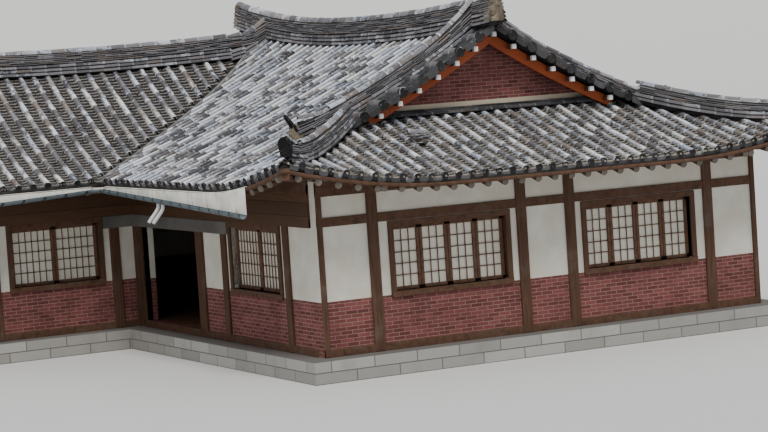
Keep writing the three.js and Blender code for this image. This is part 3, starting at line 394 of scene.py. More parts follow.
def end_tree(tree, geometry, finish):
    """Ends a tree with real geometry in its finish"""
    real = first_output(tree, "GeometryNodeRealizeInstances", {"Geometry": geometry})
    painted = first_output(tree, "GeometryNodeSetMaterial", {"Geometry": real, "Material": finish})
    add_node(tree, "NodeGroupOutput", {0: painted})
    return tree


@cache
def laying_tree():
    """Lays a piece again and again along guides, its x along them and its z along their normals"""
    tree, given = new_tree("Lay along guides", [
        ("Piece", "NodeSocketObject", None), ("Spacing", "NodeSocketFloat", 0.3), ("Skew", "NodeSocketFloat", 0.0),
        ("Shift", "NodeSocketFloat", 0.0), ("Seed", "NodeSocketInt", 1), ("First only", "NodeSocketBool", False),
        ("Finish", "NodeSocketMaterial", None)])
    add = partial(first_output, tree)
    curve = add("GeometryNodeMeshToCurve", {"Mesh": given["Guides"]})
    share = add("ShaderNodeMath", {0: add("GeometryNodeSplineLength"), 1: given["Spacing"]}, operation="DIVIDE")
    spare = add("ShaderNodeMath", {0: share, 1: SPARE}, operation="ADD")
    whole = add("ShaderNodeMath", {0: spare}, operation="FLOOR")
    points = add("ShaderNodeMath", {0: whole, 1: 1.0}, operation="ADD")
    spaced = add("GeometryNodeResampleCurve", {"Curve": curve, "Count": points}, mode="COUNT")
    last = add("GeometryNodeCurveEndpointSelection", {"Start Size": 0, "End Size": 1})
    first = add("GeometryNodeCurveEndpointSelection", {"Start Size": 1, "End Size": 0})
    all_but_last = add("FunctionNodeBooleanMath", {0: last}, operation="NOT")
    chosen = add("GeometryNodeSwitch", {"Switch": given["First only"], "False": all_but_last, "True": first},
                 input_type="BOOLEAN")
    normal, breadth = (add("GeometryNodeInputNamedAttribute", {"Name": name}, data_type="FLOAT_VECTOR")
                       for name in ("bed_normal", "breadth"))
    turned = add("FunctionNodeAxesToRotation",
                 {"Primary Axis": add("GeometryNodeInputTangent"), "Secondary Axis": normal},
                 primary_axis="X", secondary_axis="Z")
    shape = add_node(tree, "GeometryNodeObjectInfo", {"Object": given["Piece"]}, transform_space="ORIGINAL")
    laid = add("GeometryNodeInstanceOnPoints", {"Points": spaced, "Selection": chosen, "Rotation": turned,
                                                "Instance": shape.outputs["Geometry"], "Scale": breadth})
    shade = add_node(tree, "FunctionNodeRandomValue", {2: 0.0, 3: 1.0, "Seed": given["Seed"]}, data_type="FLOAT")
    marked = add("GeometryNodeStoreNamedAttribute", {"Geometry": laid, "Name": "shade", "Value": shade.outputs[1]},
                 data_type="FLOAT", domain="INSTANCE")
    wide = add("FunctionNodeRandomValue", {0: (-1, -1, -1), 1: (1, 1, 1), "Seed": given["Seed"]},
               data_type="FLOAT_VECTOR")
    skew, shift = (add("ShaderNodeVectorMath", {0: wide, "Scale": given[name]}, operation="SCALE")
                   for name in ("Skew", "Shift"))
    skewed = add("GeometryNodeRotateInstances", {"Instances": marked, "Rotation": skew, "Local Space": True})
    shifted = add("GeometryNodeTranslateInstances", {"Instances": skewed, "Translation": shift, "Local Space": True})
    return end_tree(tree, shifted, given["Finish"])


@cache
def sweeping_tree():
    """Draws a section along guides; the section's x is to the right of the guide and its y is down"""
    tree, given = new_tree("Sweep along guides", [
        ("Section", "NodeSocketObject", None), ("Closed ends", "NodeSocketBool", True),
        ("Finish", "NodeSocketMaterial", None)])
    add = partial(first_output, tree)
    curve = add("GeometryNodeMeshToCurve", {"Mesh": given["Guides"]})
    upright = add("GeometryNodeSetCurveNormal", {"Curve": curve}, mode="Z_UP")
    shape = add_node(tree, "GeometryNodeObjectInfo", {"Object": given["Section"]}, transform_space="ORIGINAL")
    outline = add("GeometryNodeMeshToCurve", {"Mesh": shape.outputs["Geometry"]})
    swept = add("GeometryNodeCurveToMesh", {"Curve": upright, "Profile Curve": outline,
                                            "Fill Caps": given["Closed ends"]})
    return end_tree(tree, swept, given["Finish"])


def guide_object(runs):
    """Runs of (place, normal, breadth) points as an object of edges"""
    vertices, edges, normals, breadths = [], [], [], []
    for run in runs:
        for index, (place, normal, breadth) in enumerate(run):
            if index:
                edges.append((len(vertices) - 1, len(vertices)))
            vertices.append(tuple(place))
            normals.extend(normal)
            breadths.extend((1.0, breadth, 1.0))
    mesh = bpy.data.meshes.new("guides")
    mesh.from_pydata(vertices, edges, [])
    mesh.attributes.new("bed_normal", "FLOAT_VECTOR", "POINT").data.foreach_set("vector", normals)
    mesh.attributes.new("breadth", "FLOAT_VECTOR", "POINT").data.foreach_set("vector", breadths)
    return bpy.data.objects.new("guides", mesh)


def grow(tree, runs, values):
    """The mesh that a tree makes of some guides"""
    guide = guide_object(runs)
    modifier = guide.modifiers.new("Rule", "NODES")
    modifier.node_group = tree
    sockets = {item.name: item.identifier for item in tree.interface.items_tree if item.in_out == "INPUT"}
    for label, value in values.items():
        modifier[sockets[label]] = value
    bpy.context.scene.collection.objects.link(guide)
    depsgraph = bpy.context.evaluated_depsgraph_get()
    mesh = bpy.data.meshes.new_from_object(
        guide.evaluated_get(depsgraph), preserve_all_data_layers=True, depsgraph=depsgraph)
    bpy.data.objects.remove(guide)
    if not mesh.polygons:
        raise RuntimeError("the rule made nothing")
    return mesh


def lay(runs, piece, finish, spacing, skew, shift, seed, first_only=False):
    return grow(laying_tree(), runs, {"Piece": piece, "Spacing": spacing, "Skew": skew, "Shift": shift, "Seed": seed,
                                      "First only": first_only, "Finish": finish})


END_SPACING = 9.0  # so long that a piece is turned by half of its run or more, not by the first metre


def lay_one(runs, piece, finish, skew, shift, seed, spacing=1.0):
    """Lays a single piece at the start of each run"""
    return lay(runs, piece, finish, spacing, skew, shift, seed, True)


def section_object(outline):
    """A closed outline of (right, up) points as an object for the sweeping tree"""
    mesh = bpy.data.meshes.new("section")
    count = len(outline)
    mesh.from_pydata([(right, -up, 0.0) for right, up in outline], [(i, (i + 1) % count) for i in range(count)], [])
    return bpy.data.objects.new("section", mesh)


def sweep(runs, outline, finish):
    mesh = grow(sweeping_tree(), runs, {"Section": section_object(outline), "Closed ends": True, "Finish": finish})
    with reworked(mesh) as work:
        bmesh.ops.remove_doubles(work, verts=work.verts, dist=1e-5)
        bmesh.ops.recalc_face_normals(work, faces=work.faces)
    return mesh


def rectangle(width, low, high, chamfer=0.0):
    half, c = width / 2, chamfer
    if not c:
        return [(-half, low), (half, low), (half, high), (-half, high)]
    return [(c - half, low), (half - c, low), (half, low + c), (half, high - c), (half - c, high), (c - half, high),
            (-half, high - c), (-half, low + c)]


def join(meshes):
    """One mesh of several, with their finishes kept"""
    work = bmesh.new()
    finishes = []
    for mesh in meshes:
        places = []
        for finish in mesh.materials:
            if finish not in finishes:
                finishes.append(finish)
            places.append(finishes.index(finish))
        before = len(work.faces)
        work.from_mesh(mesh)
        work.faces.ensure_lookup_table()
        for index in range(before, len(work.faces)):
            face = work.faces[index]
            face.material_index = places[face.material_index] if face.material_index < len(places) else 0
    joined = bpy.data.meshes.new("joined")
    work.to_mesh(joined)
    work.free()
    for finish in finishes:
        joined.materials.append(finish)
    return joined


def placed(name, data):
    """A new object in the scene"""
    made = bpy.data.objects.new(name, data)
    bpy.context.scene.collection.objects.link(made)
    return made


def settle(name, meshes, nodes=()):
    """Makes a finished piece: it rides on the house and may stand for CAD nodes"""
    mesh = join(meshes) if len(meshes) > 1 else meshes[0]
    mesh.name = name
    piece = placed(name, mesh)
    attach(piece, "root")
    if nodes:
        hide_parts(*nodes)
    return piece


# Finishes
class Finish:
    """A material under construction, with short names for the nodes that the finishes share"""

    def __init__(self, name, roughness, specular):
        self.material = bpy.data.materials.new(name)
        self.material.use_nodes = True
        self.tree = self.material.node_tree
        self.shader = self.tree.nodes["Principled BSDF"]
        self.shader.inputs["Roughness"].default_value = roughness
        self.shader.inputs["Specular IOR Level"].default_value = specular
        self.place = self.tree.nodes.new("ShaderNodeTexCoord").outputs["Object"]

    def node(self, kind, inputs=None, **settings):
        return add_node(self.tree, kind, inputs, **settings)

    def stretched(self, scale):
        return self.node("ShaderNodeMapping", {"Vector": self.place, "Scale": scale}).outputs[0]

    def noise(self, scale, detail, roughness, place=None, distortion=0.0):
        return self.node("ShaderNodeTexNoise", {"Vector": place or self.place, "Scale": scale, "Detail": detail,
                                                "Roughness": roughness, "Distortion": distortion}).outputs[0]

    def step(self, value, low, high, top=1.0):
        """0 below low, top above high, smooth between"""
        return self.node("ShaderNodeMapRange", {"Value": value, "From Min": low, "From Max": high, "To Min": 0.0,
                                                "To Max": top}, interpolation_type="SMOOTHSTEP").outputs[0]

    def carried(self, name):
        """A number that each tile or point carries"""
        return self.node("ShaderNodeAttribute", attribute_name=name).outputs["Fac"]

    def chance(self, number):
        """A random value of its own for each number"""
        return self.node("ShaderNodeTexWhiteNoise", {"W": number}, noise_dimensions="1D").outputs["Value"]

    def mix(self, share, first, second, blend="MIX"):
        first, second = ((*value, 1.0) if isinstance(value, tuple) else value for value in (first, second))
        return self.node("ShaderNodeMix", {0: share, 6: first, 7: second}, data_type="RGBA",
                         blend_type=blend).outputs[2]

    def math(self, operation, *values):
        return self.node("ShaderNodeMath", dict(enumerate(values)), operation=operation).outputs[0]

    def weighed(self, *terms):
        """The sum of some values, each with its weight"""
        total, *rest = [self.math("MULTIPLY", value, weight) for value, weight in terms]
        for part in rest:
            total = self.math("ADD", total, part)
        return total

    def bricks(self, size, joint, smooth, offset, first, second, mortar):
        """Courses that run round the walls: their colour, and 1 in the joints"""
        axes = self.axes()
        place = self.node("ShaderNodeCombineXYZ", {0: self.math("ADD", axes["X"], axes["Y"]), 1: axes["Z"]}).outputs[0]
        return self.node("ShaderNodeTexBrick", {
            "Vector": place, "Color1": (*first, 1.0), "Color2": (*second, 1.0), "Mortar": (*mortar, 1.0),
            "Scale": 1.0, "Mortar Size": joint, "Mortar Smooth": smooth, "Brick Width": size[0],
            "Row Height": size[1]}, offset=offset).outputs

    def ramp(self, value, stops):
        made = self.tree.nodes.new("ShaderNodeValToRGB")
        elements = made.color_ramp.elements
        while len(elements) < len(stops):
            elements.new(0.5)
        for element, (position, colour) in zip(elements, stops):
            element.position = position
            element.color = (*colour, 1.0)
        self.tree.links.new(value, made.inputs[0])
        return made.outputs[0]

    def axes(self):
        return self.node("ShaderNodeSeparateXYZ", {0: self.place}).outputs

    def done(self, colour, height=None, distance=0.004, strength=1.0):
        self.tree.links.new(colour, self.shader.inputs["Base Color"])
        if height is not None:
            bump = self.node("ShaderNodeBump", {"Height": height, "Distance": distance, "Strength": strength})
            self.tree.links.new(bump.outputs[0], self.shader.inputs["Normal"])
        return self.material


def tinted(colour, factor):
    return tuple(min(1.0, part * factor) for part in colour)


@cache
def tile_finish(name, tone, pale, warm=0.3, along="any", lip=0.4, lip_colour=None, bright=1.0, side=0.0, climb=0.0):
    """Old fired tile: each its own grey, with pale growth that starts at its lower end, tan patches and sooty specks.
    side is how much painted shade darkens a row of tiles down both of its sides, climb how much more growth there is
    uphill"""
    make = Finish(name, roughness=0.9, specular=0.2)
    slate = tinted(tuple(roof().slate), tone)
    lichen = tinted(tuple(roof().lichen), bright)
    cream = (lichen[0] * 1.02, lichen[1] * 0.89, lichen[2] * 0.67)
    own = make.carried("shade")
    second, third = (make.chance(make.math("MULTIPLY", own, factor)) for factor in (917.0, 331.0))
    scale = {"x": (3.0, 18.0, 18.0), "y": (18.0, 3.0, 18.0), "any": (8.0, 8.0, 8.0)}[along]
    streak = make.noise(1.0, 7.0, 0.72, make.stretched(scale), 0.5)
    cloud = make.noise(0.9, 4.0, 0.6)
    speck = make.noise(44.0, 5.0, 0.7)
    worn = make.carried("worn")
    base = make.ramp(own, [(0.0, tinted(slate, 0.5)), (0.4, tinted(slate, 0.85)), (0.8, tinted(slate, 1.3)),
                           (1.0, tinted(slate, 1.9))])
    brown = (slate[0] * 1.75, slate[1] * 1.36, slate[2] * 0.98)
    base = make.mix(make.step(third, 0.86, 0.88, warm), base, brown)
    base = make.mix(make.step(cloud, 0.35, 0.7, 0.35), base, tinted(slate, 0.62))
    gathered = make.weighed((streak, 1.25), (worn, 0.16), (second, 0.42))
    if climb:
        gathered = make.math("ADD", gathered, make.step(make.axes()["Z"], 3.6, 5.2, climb))
    reach = 1.28 - 0.49 * pale
    growth = make.mix(make.step(third, 0.55, 0.75, warm), lichen, cream)
    growth = make.mix(make.step(cloud, 0.3, 0.7, 0.5), growth, tinted(lichen, 0.6))
    dulled = make.ramp(own, [(0.0, (0.50, 0.53, 0.60)), (0.35, (0.74, 0.75, 0.78)), (0.7, (0.97, 0.97, 0.97)),
                             (1.0, (1.0, 1.0, 1.0))])
    growth = make.mix(1.0, growth, dulled, "MULTIPLY")
    covered = make.mix(make.step(gathered, reach, reach + 0.10, 0.92), base, growth)
    dotted = make.mix(make.step(speck, 0.57, 0.70, 0.35), covered, tinted(lichen, 0.8))
    sooted_and_side_shaded = make.mix(make.step(speck, 0.45, 0.30, 0.65), dotted, tinted(slate, 0.35))
    # Painted shade: with side, the tiles darken where their faces turn sideways, down both sides of each row
    if side:
        across = make.node("ShaderNodeNewGeometry").outputs["Normal"]
        turned = make.node("ShaderNodeSeparateXYZ", {0: across}).outputs["Y" if along == "x" else "X"]
        sooted_and_side_shaded = make.mix(make.step(make.math("ABSOLUTE", turned), 0.55, 0.88, side), sooted_and_side_shaded, tinted(slate, 0.35))
    broken = make.math("MULTIPLY", make.step(worn, 0.80, 1.0, lip), make.step(streak, 0.34, 0.54))
    lipped = make.mix(broken, sooted_and_side_shaded, lip_colour or tinted(lichen, 1.1))
    return make.done(lipped, make.weighed((streak, 0.4), (speck, 0.6)), 0.006, strength=0.8)


@cache
def mortar_finish(name, tone=1.0, colour=None):
    """Lime and earth; the packing inside a ridge is the same in a darker tone, painted shade for the gaps that it
    shows through
    """
    make = Finish(name, roughness=0.95, specular=0.15)
    mortar = tinted(colour or tuple(roof().mortar), tone)
    grain = make.noise(40.0, 6.0, 0.7)
    stain = make.noise(3.0, 5.0, 0.6)
    tones = make.mix(make.step(stain, 0.35, 0.7), tinted(mortar, 0.55), tinted(mortar, 1.25))
    tones = make.mix(make.step(grain, 0.5, 0.75, 0.5), tones, tinted(mortar, 0.5))
    return make.done(tones, grain, 0.008)


# Near-black earth packing: painted shade in the gaps under the tiles and between the ridge courses
def shaded_packing_finish():
    return mortar_finish("earth packing", 0.13, (0.34, 0.32, 0.30))


# The round end tiles are far darker than the covers: painted shade on their end faces
def end_finish():
    return tile_finish("end tile", 0.28, 0.05, lip=0.0)


@cache
def timber_finish(name, colour=None, along="any"):
    """Stained wood with grain along one axis"""
    colour = colour or tuple(walls().timber)
    make = Finish(name, roughness=0.78, specular=0.25)
    scale = {"z": (22, 22, 1.2), "any": (6, 6, 6)}[along]
    grain = make.noise(1.6, 6.0, 0.65, make.stretched(scale), 0.6)
    weather = make.noise(2.2, 4.0, 0.6)
    tone = make.ramp(grain, [(0.25, tinted(colour, 0.45)), (0.5, colour), (0.8, tinted(colour, 1.5))])
    tone = make.mix(make.step(weather, 0.5, 0.8, 0.45), tone, (0.16, 0.135, 0.11))
    return make.done(tone, grain, 0.003)


@cache
def paint_finish(name, colour, wear, roughness=0.6, under=(0.2, 0.16, 0.12)):
    """Brushed paint that has faded and flaked a little"""
    make = Finish(name, roughness=roughness, specular=0.35)
    fade = make.noise(1.3, 5.0, 0.6)
    flake = make.noise(26.0, 6.0, 0.7)
    tone = make.mix(make.step(fade, 0.3, 0.75), tinted(colour, 0.72), tinted(colour, 1.2))
    tone = make.mix(make.step(flake, 0.66 - 0.1 * wear, 0.74, wear), tone, under)
    return make.done(tone, flake, 0.0015)


@cache
def brick_finish(name, low_band, high_band, plaster_from=None):
    """Bricks laid true to size, with a cement band between two heights and plaster above another"""
    make = Finish(name, roughness=0.9, specular=0.2)
    brick, height_of = tuple(walls().brick), make.axes()["Z"]
    laid = make.bricks((walls().brick_length, walls().brick_course), 0.0055, 0.15, 0.5, tinted(brick, 0.75),
                       tinted(brick, 1.45), (0.34, 0.22, 0.18))
    patch = make.noise(2.0, 5.0, 0.6)
    grain = make.noise(60.0, 5.0, 0.65)
    tone = make.mix(make.step(patch, 0.4, 0.75, 0.45), laid["Color"], tinted(brick, 0.5))
    tone = make.mix(make.step(grain, 0.55, 0.75, 0.35), tone, tinted(brick, 0.45))
    height = make.math("SUBTRACT", make.math("MULTIPLY", grain, 0.25), laid["Fac"])
    cement = make.mix(make.step(grain, 0.4, 0.7, 0.6), (0.62, 0.53, 0.40), (0.43, 0.36, 0.27))
    in_band = make.math("MULTIPLY", make.step(height_of, low_band - 0.004, low_band + 0.004),
                        make.step(height_of, high_band + 0.004, high_band - 0.004))
    tone = make.mix(in_band, tone, cement)
    height = make.math("MULTIPLY", height, make.math("SUBTRACT", 1.0, in_band))
    if plaster_from is not None:
        above = make.step(height_of, plaster_from - 0.003, plaster_from + 0.003)
        plaster = make.mix(make.step(patch, 0.35, 0.8), (0.66, 0.62, 0.53), (0.80, 0.77, 0.70))
        tone = make.mix(above, tone, plaster)
        height = make.math("MULTIPLY", height, make.math("SUBTRACT", 1.0, above))
    return make.done(tone, height, 0.006)


@cache
def stone_finish():
    make = Finish("dressed granite", roughness=0.88, specular=0.25)
    laid = make.bricks((0.74, 0.1751), 0.008, 0.3, 0.42, (0.30, 0.29, 0.27), (0.42, 0.41, 0.38), (0.14, 0.13, 0.12))
    fleck = make.noise(90.0, 4.0, 0.6)
    stain = make.noise(1.6, 5.0, 0.6)
    tone = make.mix(make.step(fleck, 0.5, 0.68, 0.5), laid["Color"], (0.12, 0.12, 0.12))
    tone = make.mix(make.step(stain, 0.5, 0.8, 0.4), tone, (0.17, 0.16, 0.12))
    return make.done(tone, make.math("SUBTRACT", make.math("MULTIPLY", fleck, 0.3), laid["Fac"]), 0.01)


@cache
def sheet_finish(name, colour, rust, joints=0.0):
    """Painted sheet with dirt, rust that runs down it, and dark joints at a distance along it"""
    make = Finish(name, roughness=0.5, specular=0.4)
    run = make.noise(1.0, 5.0, 0.7, make.stretched((7.0, 7.0, 0.7)))
    dirt = make.noise(3.0, 6.0, 0.65)
    speck = make.noise(30.0, 4.0, 0.7)
    tone = make.mix(make.step(dirt, 0.35, 0.75), tinted(colour, 1.08), tinted(colour, 0.72))
    tone = make.mix(make.step(run, 0.57, 0.67, rust), tone, (0.30, 0.13, 0.05))
    tone = make.mix(make.step(speck, 0.66, 0.74, 0.4), tone, tinted(colour, 0.45))
    if joints:
        axes = make.axes()
        counted = make.math("DIVIDE", make.math("ADD", axes["X"], axes["Y"]), joints)
        tone = make.mix(make.step(make.math("FRACT", counted), 0.85, 0.88), tone, tinted(colour, 0.15))
    return make.done(tone, dirt, 0.003)


@cache
def plank_finish(name, colour, width, across):
    """Boards side by side: across names the axis that the boards are counted along"""
    make = Finish(name, roughness=0.6, specular=0.3)
    counted = make.math("DIVIDE", make.axes()[across], width)
    within, number = make.math("FRACT", counted), make.math("FLOOR", counted)
    scale = {"X": (24, 1.5, 24), "Z": (1.5, 1.5, 24)}[across]
    grain = make.noise(1.5, 6.0, 0.65, make.stretched(scale), 0.5)
    tone = make.mix(make.chance(number), tinted(colour, 0.7), tinted(colour, 1.3))
    tone = make.mix(make.step(grain, 0.35, 0.7, 0.6), tone, tinted(colour, 0.5))
    joint = make.math("MULTIPLY", make.step(within, 0.0, 0.03), make.step(within, 1.0, 0.97))
    tone = make.mix(joint, tinted(colour, 0.12), tone)
    return make.done(tone, joint, 0.004)


@cache
def paper_finish():
    make = Finish("window paper", roughness=0.9, specular=0.15)
    fibre = make.noise(60.0, 6.0, 0.7)
    sun = make.noise(1.5, 3.0, 0.5)
    tone = make.mix(make.step(fibre, 0.4, 0.7), (0.72, 0.68, 0.58), (0.82, 0.79, 0.70))
    tone = make.mix(make.step(sun, 0.45, 0.8, 0.4), tone, (0.60, 0.52, 0.38))
    return make.done(tone, fibre, 0.001)


# Rows of tiles
def on_bed(start, end, top, step=0.25):
    """Points of one run over a bed, from its low end to its high end"""
    length = math.dist(start, end)
    count = max(1, round(length / step))
    points = []
    for i in range(count + 1):
        x = start[0] + (end[0] - start[0]) * i / count
        y = start[1] + (end[1] - start[1]) * i / count
        slope_x = (top(x + 0.01, y) - top(x - 0.01, y)) / 0.02
        slope_y = (top(x, y + 0.01) - top(x, y - 0.01)) / 0.02
        normal = Vector((-slope_x, -slope_y, 1.0)).normalized()
        points.append((Vector((x, y, top(x, y))), normal, 1.0))
    return points


def spread(first, last, pitch, half=False):
    """Even places from first to last, near the pitch; half gives the places between them"""
    count = max(1, round((last - first) / pitch))
    step = (last - first) / count
    if half:
        return [first + step * (i + 0.5) for i in range(count)]
    return [first + step * i for i in range(count + 1)]


EDGE = 0.022  # from a bed's eave in to where a row starts
RIDGE_EDGE = 0.10  # from a ridge's line to where a row stops
SHORTEST = 0.16  # no row is shorter
VERGE_IN = 0.24  # from a gable in to where the tiles of its verge end
VERGE_PITCH = 0.36
PAST_VALLEY = 0.3  # the main rows run on this far, and are cut along the valley
SHORT_OF_VALLEY = 0.13


def row_runs(places, ends, top):
    runs = []
    for place in places:
        low, high = ends(place)
        if math.dist(low, high) > SHORTEST:
            runs.append(on_bed(low, high, top))
    return runs


def rows_between(low, high, pitch, ends, top):
    """The runs of the cover tiles and of the channel tiles of one bed"""
    return [row_runs(spread(low, high, pitch, half), ends, top) for half in (True, False)]


def gable_stop(y):
    """How far from the main ridge the rows of a long slope stop, at a given y"""
    if y < -VERGE:
        return EAVE_X - (y - FRONT_EAVE)
    if y < VERGE_IN:
        return EAVE_X - SKIRT + VERGE
    return RIDGE_EDGE


def main_left_ends(y):
    low = EAVE_X - EDGE if y < WING_EAVE_Y + 0.04 else valley_x(y) + PAST_VALLEY
    return (-low, y), (-gable_stop(y), y)


def main_right_ends(y):
    behind = REAR_EAVE + FRONT_EAVE - y
    return (EAVE_X - EDGE, y), (max(gable_stop(y), gable_stop(behind)), y)


def left_rear_ends(y):
    return (-PAST_VALLEY - valley_x(y), y), (-RIDGE_EDGE, y)


def wing_gable_stop(x):
    if x < WING_GABLE_X - VERGE:
        return WING_HALF - (x - WING_EAVE_X)
    if x < WING_GABLE_X + VERGE_IN:
        return WING_HALF - WING_SKIRT + VERGE
    return RIDGE_EDGE


def wing_ends(side):
    def ends(x):
        in_open = x < (-EAVE_X if side < 0 else REAR_STEP_X)
        low = WING_HALF - EDGE if in_open else valley_y(x, side) - SHORT_OF_VALLEY
        return (x, WING_RIDGE_Y + side * low), (x, WING_RIDGE_Y + side * wing_gable_stop(x))
    return ends


def front_skirt_ends(x):
    return (x, FRONT_EAVE + EDGE), (x, min(VERGE_IN, FRONT_EAVE + EAVE_X - abs(x)))


def rear_skirt_ends(x):
    return (x, REAR_EAVE - EDGE), (x, max(RIDGE_LENGTH - VERGE_IN, REAR_EAVE - (EAVE_X - x)))


def wing_skirt_ends(y):
    reach = min(WING_SKIRT + VERGE_IN, WING_HALF - abs(y - WING_RIDGE_Y))
    return (WING_EAVE_X + EDGE, y), (WING_EAVE_X + reach, y)


def verge_runs(sign, outer, edge, inner, top, half, middle=None):
    """Short rows laid across the rake, from the open verge in to the descending ridge.
    With a middle, the rake runs along y at that middle; otherwise it runs along x"""
    shift = 0.5 if half else 0.0
    runs = []
    for k in range(0 if half else 1, math.floor(outer / VERGE_PITCH - shift) + 1):
        u = sign * VERGE_PITCH * (k + shift)
        ends = ((u, edge), (u, inner)) if middle is None else ((edge, middle + u), (inner, middle + u))
        runs.append(on_bed(*ends, top, 0.1))
    return runs


def trim_to_valley(mesh):
    """Cuts the rows that run past the valley, along the valley's line"""
    first, step = WING_EAVE_Y - 0.2, 0.05
    line = [valley_x(first + step * i) for i in range(round((REAR_EAVE - first) / step) + 2)]

    def limit(y):
        place = max(0.0, (y - first) / step)
        index = min(int(place), len(line) - 2)
        return -(line[index] + (line[index + 1] - line[index]) * (place - index))

    with reworked(mesh) as work:
        moved = set()
        for vertex in work.verts:
            x, y, z = vertex.co
            edge = limit(y)
            if y > WING_EAVE_Y + 0.02 and x < edge:
                vertex.co = (edge, y, z + main_top(edge, y) - main_top(x, y))
                moved.add(vertex)
        gone = [face for face in work.faces if all(vertex in moved for vertex in face.verts)]
        bmesh.ops.delete(work, geom=gone, context="FACES")
    return mesh


def step_side():
    """The plastered side under the edge of the wing's rear slope, down to the lower rear skirt"""
    rings = []
    for i in range(17):
        y = REAR_VERGE - 0.45 + 1.75 * i / 16
        low = rear_skirt_top(REAR_STEP_X, max(y, REAR_VERGE - 0.3)) - 0.14
        high = max(low + 0.01, wing_top(REAR_STEP_X, y) - BED + 0.03)
        near, far = REAR_STEP_X - 0.04, REAR_STEP_X - 0.09
        rings.append([(near, y, low), (near, y, high), (far, y, high), (far, y, low)])
    return finished(solid("step_side", rings), mortar_finish("step plaster", 1.0, (0.42, 0.38, 0.32)))


def valley_pointing():
    """The low curb of earth that closes the cut ends of the rows along the valleys"""
    runs = []
    for first, last in ((WING_EAVE_Y + 0.05, WING_RIDGE_Y), (REAR_VERGE - 0.1, WING_RIDGE_Y)):
        run = []
        for i in range(25):
            y = first + (last - first) * i / 24
            x = 0.03 - valley_x(y)
            run.append((Vector((x, y, main_top(x, y))), UP, 1.0))
        runs.append(run)
    return sweep(runs, rectangle(0.06, -0.12, 0.004, 0.01), mortar_finish("valley lime", 1.0, (0.23, 0.225, 0.22)))


VERGE_TILE = 0.086  # radius of a verge row's cover tile
COVER_LAP = 0.03
CHANNEL_LAP = 0.006
TAPER = 0.007  # how much less the radius of a cover tile is at its rear


def tile_field(name, rows, finish, channel_finish, seed, verge=None, at_valley=False, slim=1.0):
    """Cover tiles, channel tiles and the eave ends of one bed"""
    cover_runs, channel_runs = rows
    size = roof()
    radius, half_pitch, skew = size.cover_radius * slim, size.row_pitch / 2, size.tile_skew
    cover = cover_tile(size.cover_exposure + COVER_LAP, radius, radius - TAPER)
    exposure = size.channel_exposure / slim ** 2
    channel = channel_tile(exposure + CHANNEL_LAP, half_pitch - 0.01)
    meshes = [lay(cover_runs, cover, finish, size.cover_exposure, skew, 0.004, seed),
              lay(channel_runs, channel, channel_finish, exposure, skew, 0.002, seed + 1)]
    if at_valley:
        meshes = [trim_to_valley(mesh) for mesh in meshes]
    open_covers, open_channels = ([run for run in runs if at_eave(run)] for runs in rows)
    if open_covers:
        drip, drip_finish = drip_tile(half_pitch - 0.045), tile_finish("drip tile", 0.85, 0.35)
        meshes.append(lay_one(open_covers, end_tile(radius * 1.06), end_finish(), 0.03, 0.003, seed + 2))
        meshes.append(lay_one(open_channels, drip, drip_finish, 0.03, 0.003, seed + 3))
    if verge:
        covers, channels = verge
        half, head = VERGE_PITCH / 2, end_tile(VERGE_TILE + 0.002, drop=VERGE_TILE)
        meshes += [
            lay(covers, cover_tile(0.3 + COVER_LAP, VERGE_TILE, VERGE_TILE - TAPER),
                tile_finish("verge tile", 1.15, 0.2, 0.3, "y"), 0.3, 0.05, 0.008, seed + 4),
            # The verge channel and verge drip are dark: painted shade in the gaps between the verge covers
            lay(channels, channel_tile(0.11, half - 0.01), tile_finish("verge channel", 0.4, 0.0, lip=0.1),
                0.1, 0.03, 0.004, seed + 5),
            lay_one(covers, head, end_finish(), 0.05, 0.004, seed + 6),
            lay_one(channels, drip_tile(half - 0.05, -0.165), tile_finish("verge drip", 0.5, 0.1),
                    0.03, 0.003, seed + 7),
        ]
    settle(f"{name}_tiles", meshes)


def loose_pile(x, y):
    """Spare flat tiles and a cover tile that were left lying on the front skirt"""
    floor, step = front_skirt_top(x, y) - 0.03, 0.031
    finish = tile_finish("spare tile", 1.3, 0.75, 0.6, bright=1.1)
    meshes = []
    for index, (shift, turn) in enumerate(((0.0, 0.02), (0.012, -0.03), (-0.008, 0.05), (0.018, -0.02), (0.0, 0.04))):
        z = floor + step * index
        guide = straight_guide((x - 0.13 + shift, y - turn, z), (x + 0.13 + shift, y + turn, z))
        meshes.append(lay_one([guide], slab_tile(0.26, 0.10, 0.02), finish, 0.02, 0.0, 700 + index))
    z = floor + step * 5 + 0.06
    guide = straight_guide((x - 0.20, y, z + 0.03), (x + 0.05, y, z))
    meshes.append(lay_one([guide], cover_tile(0.27, 0.062, 0.055), finish, 0.02, 0.0, 709))
    return meshes


def at_eave(run):
    """Whether a run's low end lies at an open eave, not at a valley"""
    x, y, _ = run[0][0]
    margin = 0.03
    in_wing = y > WING_EAVE_Y + margin and x < 0
    on_main = abs(abs(x) - EAVE_X) < margin and not (x < 0 and in_wing)
    on_wing = abs(x - WING_EAVE_X) < margin or (abs(y - WING_EAVE_Y) < margin and x < -EAVE_X)
    on_ends = abs(y - FRONT_EAVE) < margin or abs(y - REAR_EAVE) < margin
    return on_main or on_wing or on_ends


DRAWN_IN = 0.05  # how far a bed of earth stops inside its solid's open edges


def open_edges(node):
    """The planes that a bed ends at in the open, as (axis, place, way in)"""
    edges = [(0, EAVE_X, -1), (0, WING_EAVE_X, 1), (1, FRONT_EAVE, 1), (1, REAR_EAVE, -1)]
    if node in ("main_left_slope", "front_skirt"):
        edges.append((0, -EAVE_X, 1))
    if node.startswith("main"):
        edges.append((1, -VERGE, 1))
    if node in ("main_right_slope", "main_left_rear_slope"):
        edges.append((1, REAR_VERGE, -1))
    if node.startswith("wing"):
        edges += [(1, WING_EAVE_Y, 1), (0, WING_GABLE_X - VERGE, 1)]
    return edges


